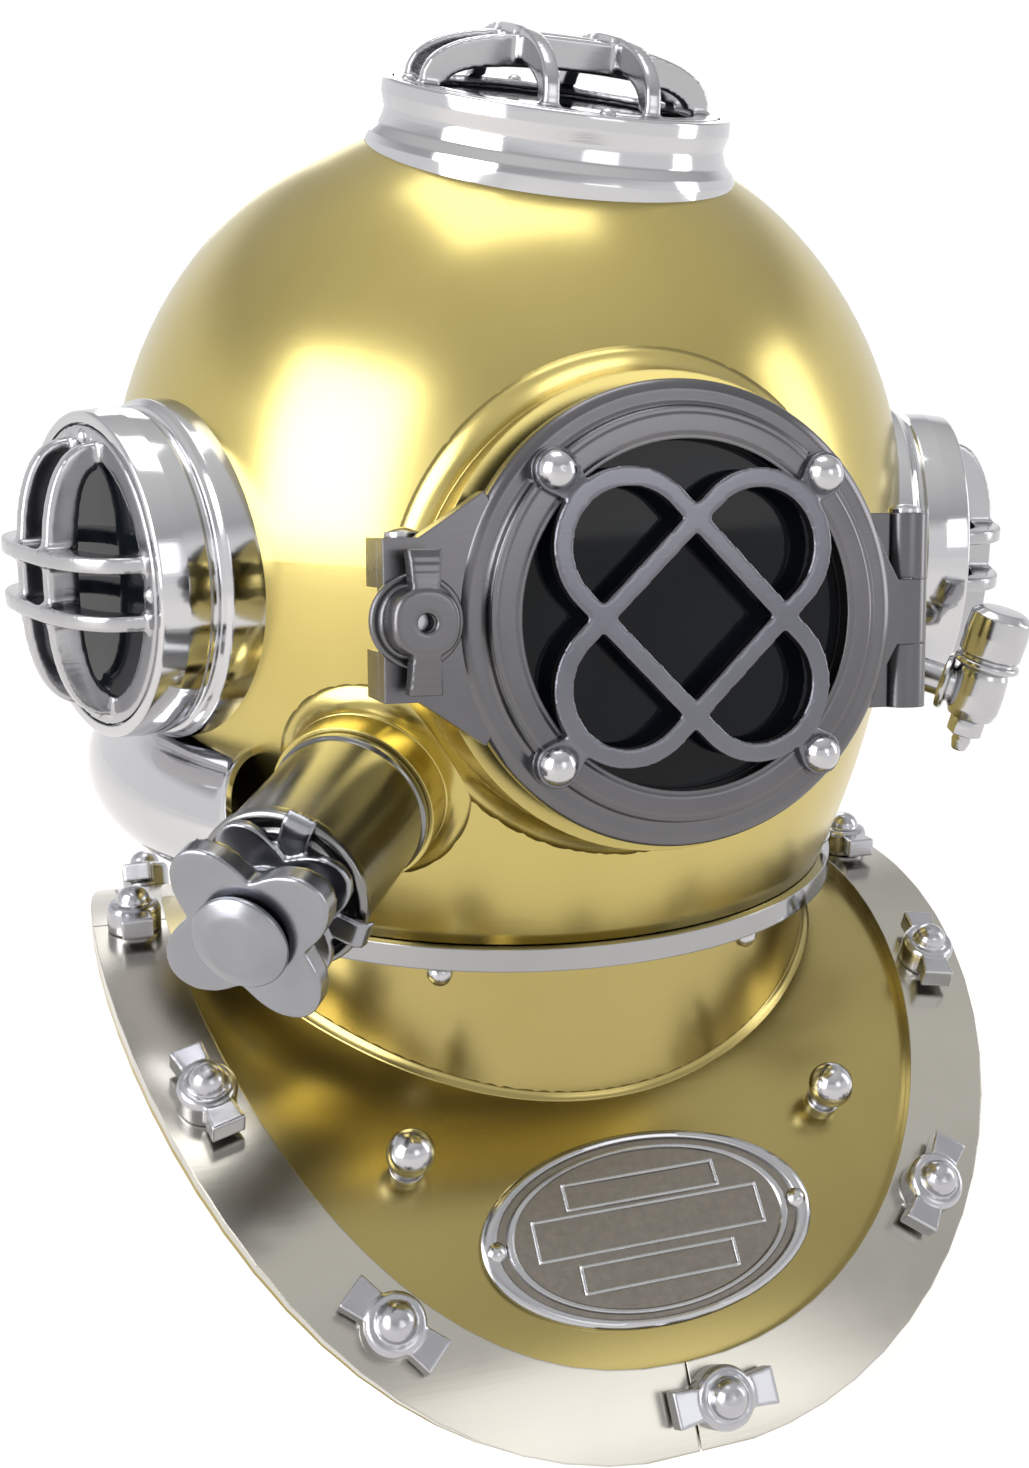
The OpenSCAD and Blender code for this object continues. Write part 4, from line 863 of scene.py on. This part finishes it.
def makeLatchNut():
    square = latchNut["square"]
    bm = spinShape(latchNut["hub"], 64)
    for vert in bm.verts:
        if vert.co.z > square["over"] and math.hypot(vert.co.x, vert.co.y) > square["outside"]:
            turn = math.atan2(vert.co.y, vert.co.x)
            more = 1 + square["more"] * (1 - math.cos(4 * turn)) / 2
            vert.co.x *= more
            vert.co.y *= more
    for side in (-1, 1):
        addLatchWing(bm, side)
    finishPiece("cast_latch_nut", castFrom(bm, latchNut["voxel"], latchNut["rounds"]), "nickel",
                "latch_nut", ["latch_nut"], places["front"] @ moved(*latchNut["place"]), 60)


makeLatchNut()

# the exhaust valve's body, with its stepped front
valveBody = [(3.7, 62.9, 0), (13.0, 62.9, 0.3), (14.2, 64.4, 0.6), (18.2, 64.6, 1.0),
             (19.4, 63.2, 0.5), (21.6, 63.2, 0.5), (22.6, 65.6, 0.8), (24.2, 66.4, 0.8),
             (26.0, 65.8, 1.2), (25.9, 62.4, 1.2), (24.7, 61.2, 0.8), (24.7, 19.0, 1),
             (25.6, 18.0, 0.6), (25.6, 15.6, 0.6), (24.4, 14.95, 0.1), (21.7, 14.95, 0),
             (21.7, 60, 0), (3.7, 60, 0)]
finishPiece("turned_exhaust_body", spinShape(rounded(valveBody), 128), "bright_valve", "bonnet",
            ["exhaust_body"], places["valve"])

# the duct: a bent tube round the dome, open towards it, with a rolled lip at its scooped front
duct = {
    "ring": 140, "height": 69, "radius": 24, "wall": 2.5, "low": -112, "high": 112,
    "front": 50.4, "back": 128, "bunch": 1.15, "hidden": 3.2,
    "scoop": {"slant": 2.2, "slantTurns": 1.1, "dip": 0.8},
    "lip": {"rise": 1.5, "wide": 2.6, "radius": 150},
}


def makeDuct():
    scoop, lip = duct["scoop"], duct["lip"]
    bm = bmesh.new()
    bmesh.ops.create_grid(bm, x_segments=150, y_segments=72, size=0.5)
    for vert in bm.verts:
        along, around = vert.co.x + 0.5, vert.co.y + 0.5
        section = math.radians(duct["low"] + (duct["high"] - duct["low"]) * around)
        front = duct["front"] + scoop["slant"] * math.sin(section * scoop["slantTurns"])
        front -= scoop["dip"] * math.cos(2 * section)
        azimuth = front + (duct["back"] - front) * along ** duct["bunch"]
        fromLip = math.radians(azimuth - front) * lip["radius"]
        r = duct["radius"] + lip["rise"] * math.exp(-(fromLip / lip["wide"]) ** 2)
        out = duct["ring"] + r * math.cos(section)
        turn = math.radians(azimuth)
        z = duct["height"] + r * math.sin(section)
        vert.co = Vector((-out * math.sin(turn), -out * math.cos(turn), z))
    gone = [f for f in bm.faces if offDome(f.calc_center_median()) < -duct["hidden"]]
    bmesh.ops.delete(bm, geom=gone, context="FACES")
    bmesh.ops.recalc_face_normals(bm, faces=bm.faces)
    bmesh.ops.solidify(bm, geom=bm.faces[:], thickness=duct["wall"])
    finishPiece("drawn_exhaust_duct", bm, "bright_window", "bonnet", ["exhaust_duct"])


makeDuct()
print("exhaust valve and duct made")

# drain cock: a rounded barrel on a stem, and a plug with a cap above and a nut below
cock = {
    "stem": [(0, -44), (6, -44), (6, -13.4), (9.6, -13.2), (10.1, -12.4), (10.1, -11.2),
             (9.4, -10.4), (7, -10.0), (6.4, -8), (0, -8)],
    "barrel": [(4.6, -9.5, 0), (8.2, -9.5, 1), (9.6, -6, 4), (9.8, 0, 4), (9.4, 7, 3),
               (8.4, 9.5, 1), (4.6, 9.5, 0)],
    "plug": [(0, -22.8, 0), (2.6, -22.8, 1.2), (3.6, -19, 1.2), (3.2, -16.8, 0.4),
             (3.9, -16.6, 0.3), (3.9, -9.9, 0), (4.5, -9.8, 0), (4.5, 9.8, 0), (10.4, 9.8, 0.4),
             (12.0, 10.8, 0.9), (11.6, 12.4, 0.6), (10.2, 12.9, 0.4), (10.0, 13.8, 0.4),
             (11.2, 14.8, 0.7), (11.4, 22, 3), (11.0, 29.2, 1.4), (8, 31.4, 3), (0, 31.6, 0)],
    "nut": {"r": 6.5, "tall": 6.4, "height": -13.2, "edge": 0.5},
}


def makeCock():
    stem = spinShape(cock["stem"], 64, False)
    body = spinShape(rounded(cock["barrel"]), 64)
    addShape(body, stem, turned("X", 90))
    finishPiece("turned_cock_body", body, "bright_cast", "bonnet", ["cock_body"], places["cock"])
    size = cock["nut"]
    plug = spinShape(rounded(cock["plug"]), 64, False)
    nut = bmesh.ops.create_cone(plug, cap_ends=True, segments=6, radius1=size["r"],
                                radius2=size["r"], depth=size["tall"],
                                matrix=moved(0, 0, size["height"]))["verts"]
    edges = list({e for v in nut for e in v.link_edges})
    bmesh.ops.bevel(plug, geom=edges, offset=size["edge"], affect="EDGES", segments=2,
                    profile=0.5, material=-1)
    finishPiece("turned_cock_plug", plug, "bright_cast", "cock_plug", ["cock_plug"],
                places["cock"])


makeCock()
print("drain cock made")

# a soft bead where the collar meets the breastplate
bead = {"collar": 119, "ballR": 4}


def restInNeck(turn):
    out = bead["collar"] + bead["ballR"]
    y = out * math.sin(turn)
    up = math.sqrt((breastplate["radius"] + bead["ballR"]) ** 2 - y * y)
    ball = Vector((out * math.cos(turn), y, up + breastplate["axisZ"]))
    towardPlate = -Vector((0, y, up)).normalized()
    towardCollar = -Vector((math.cos(turn), math.sin(turn), 0))
    return ball, towardPlate, towardCollar


finishPiece("neck_bead", rollBall(bead["ballR"], 0.03, 6, 160, restInNeck), "brass_plate",
            "breastplate")
print("neck bead made")
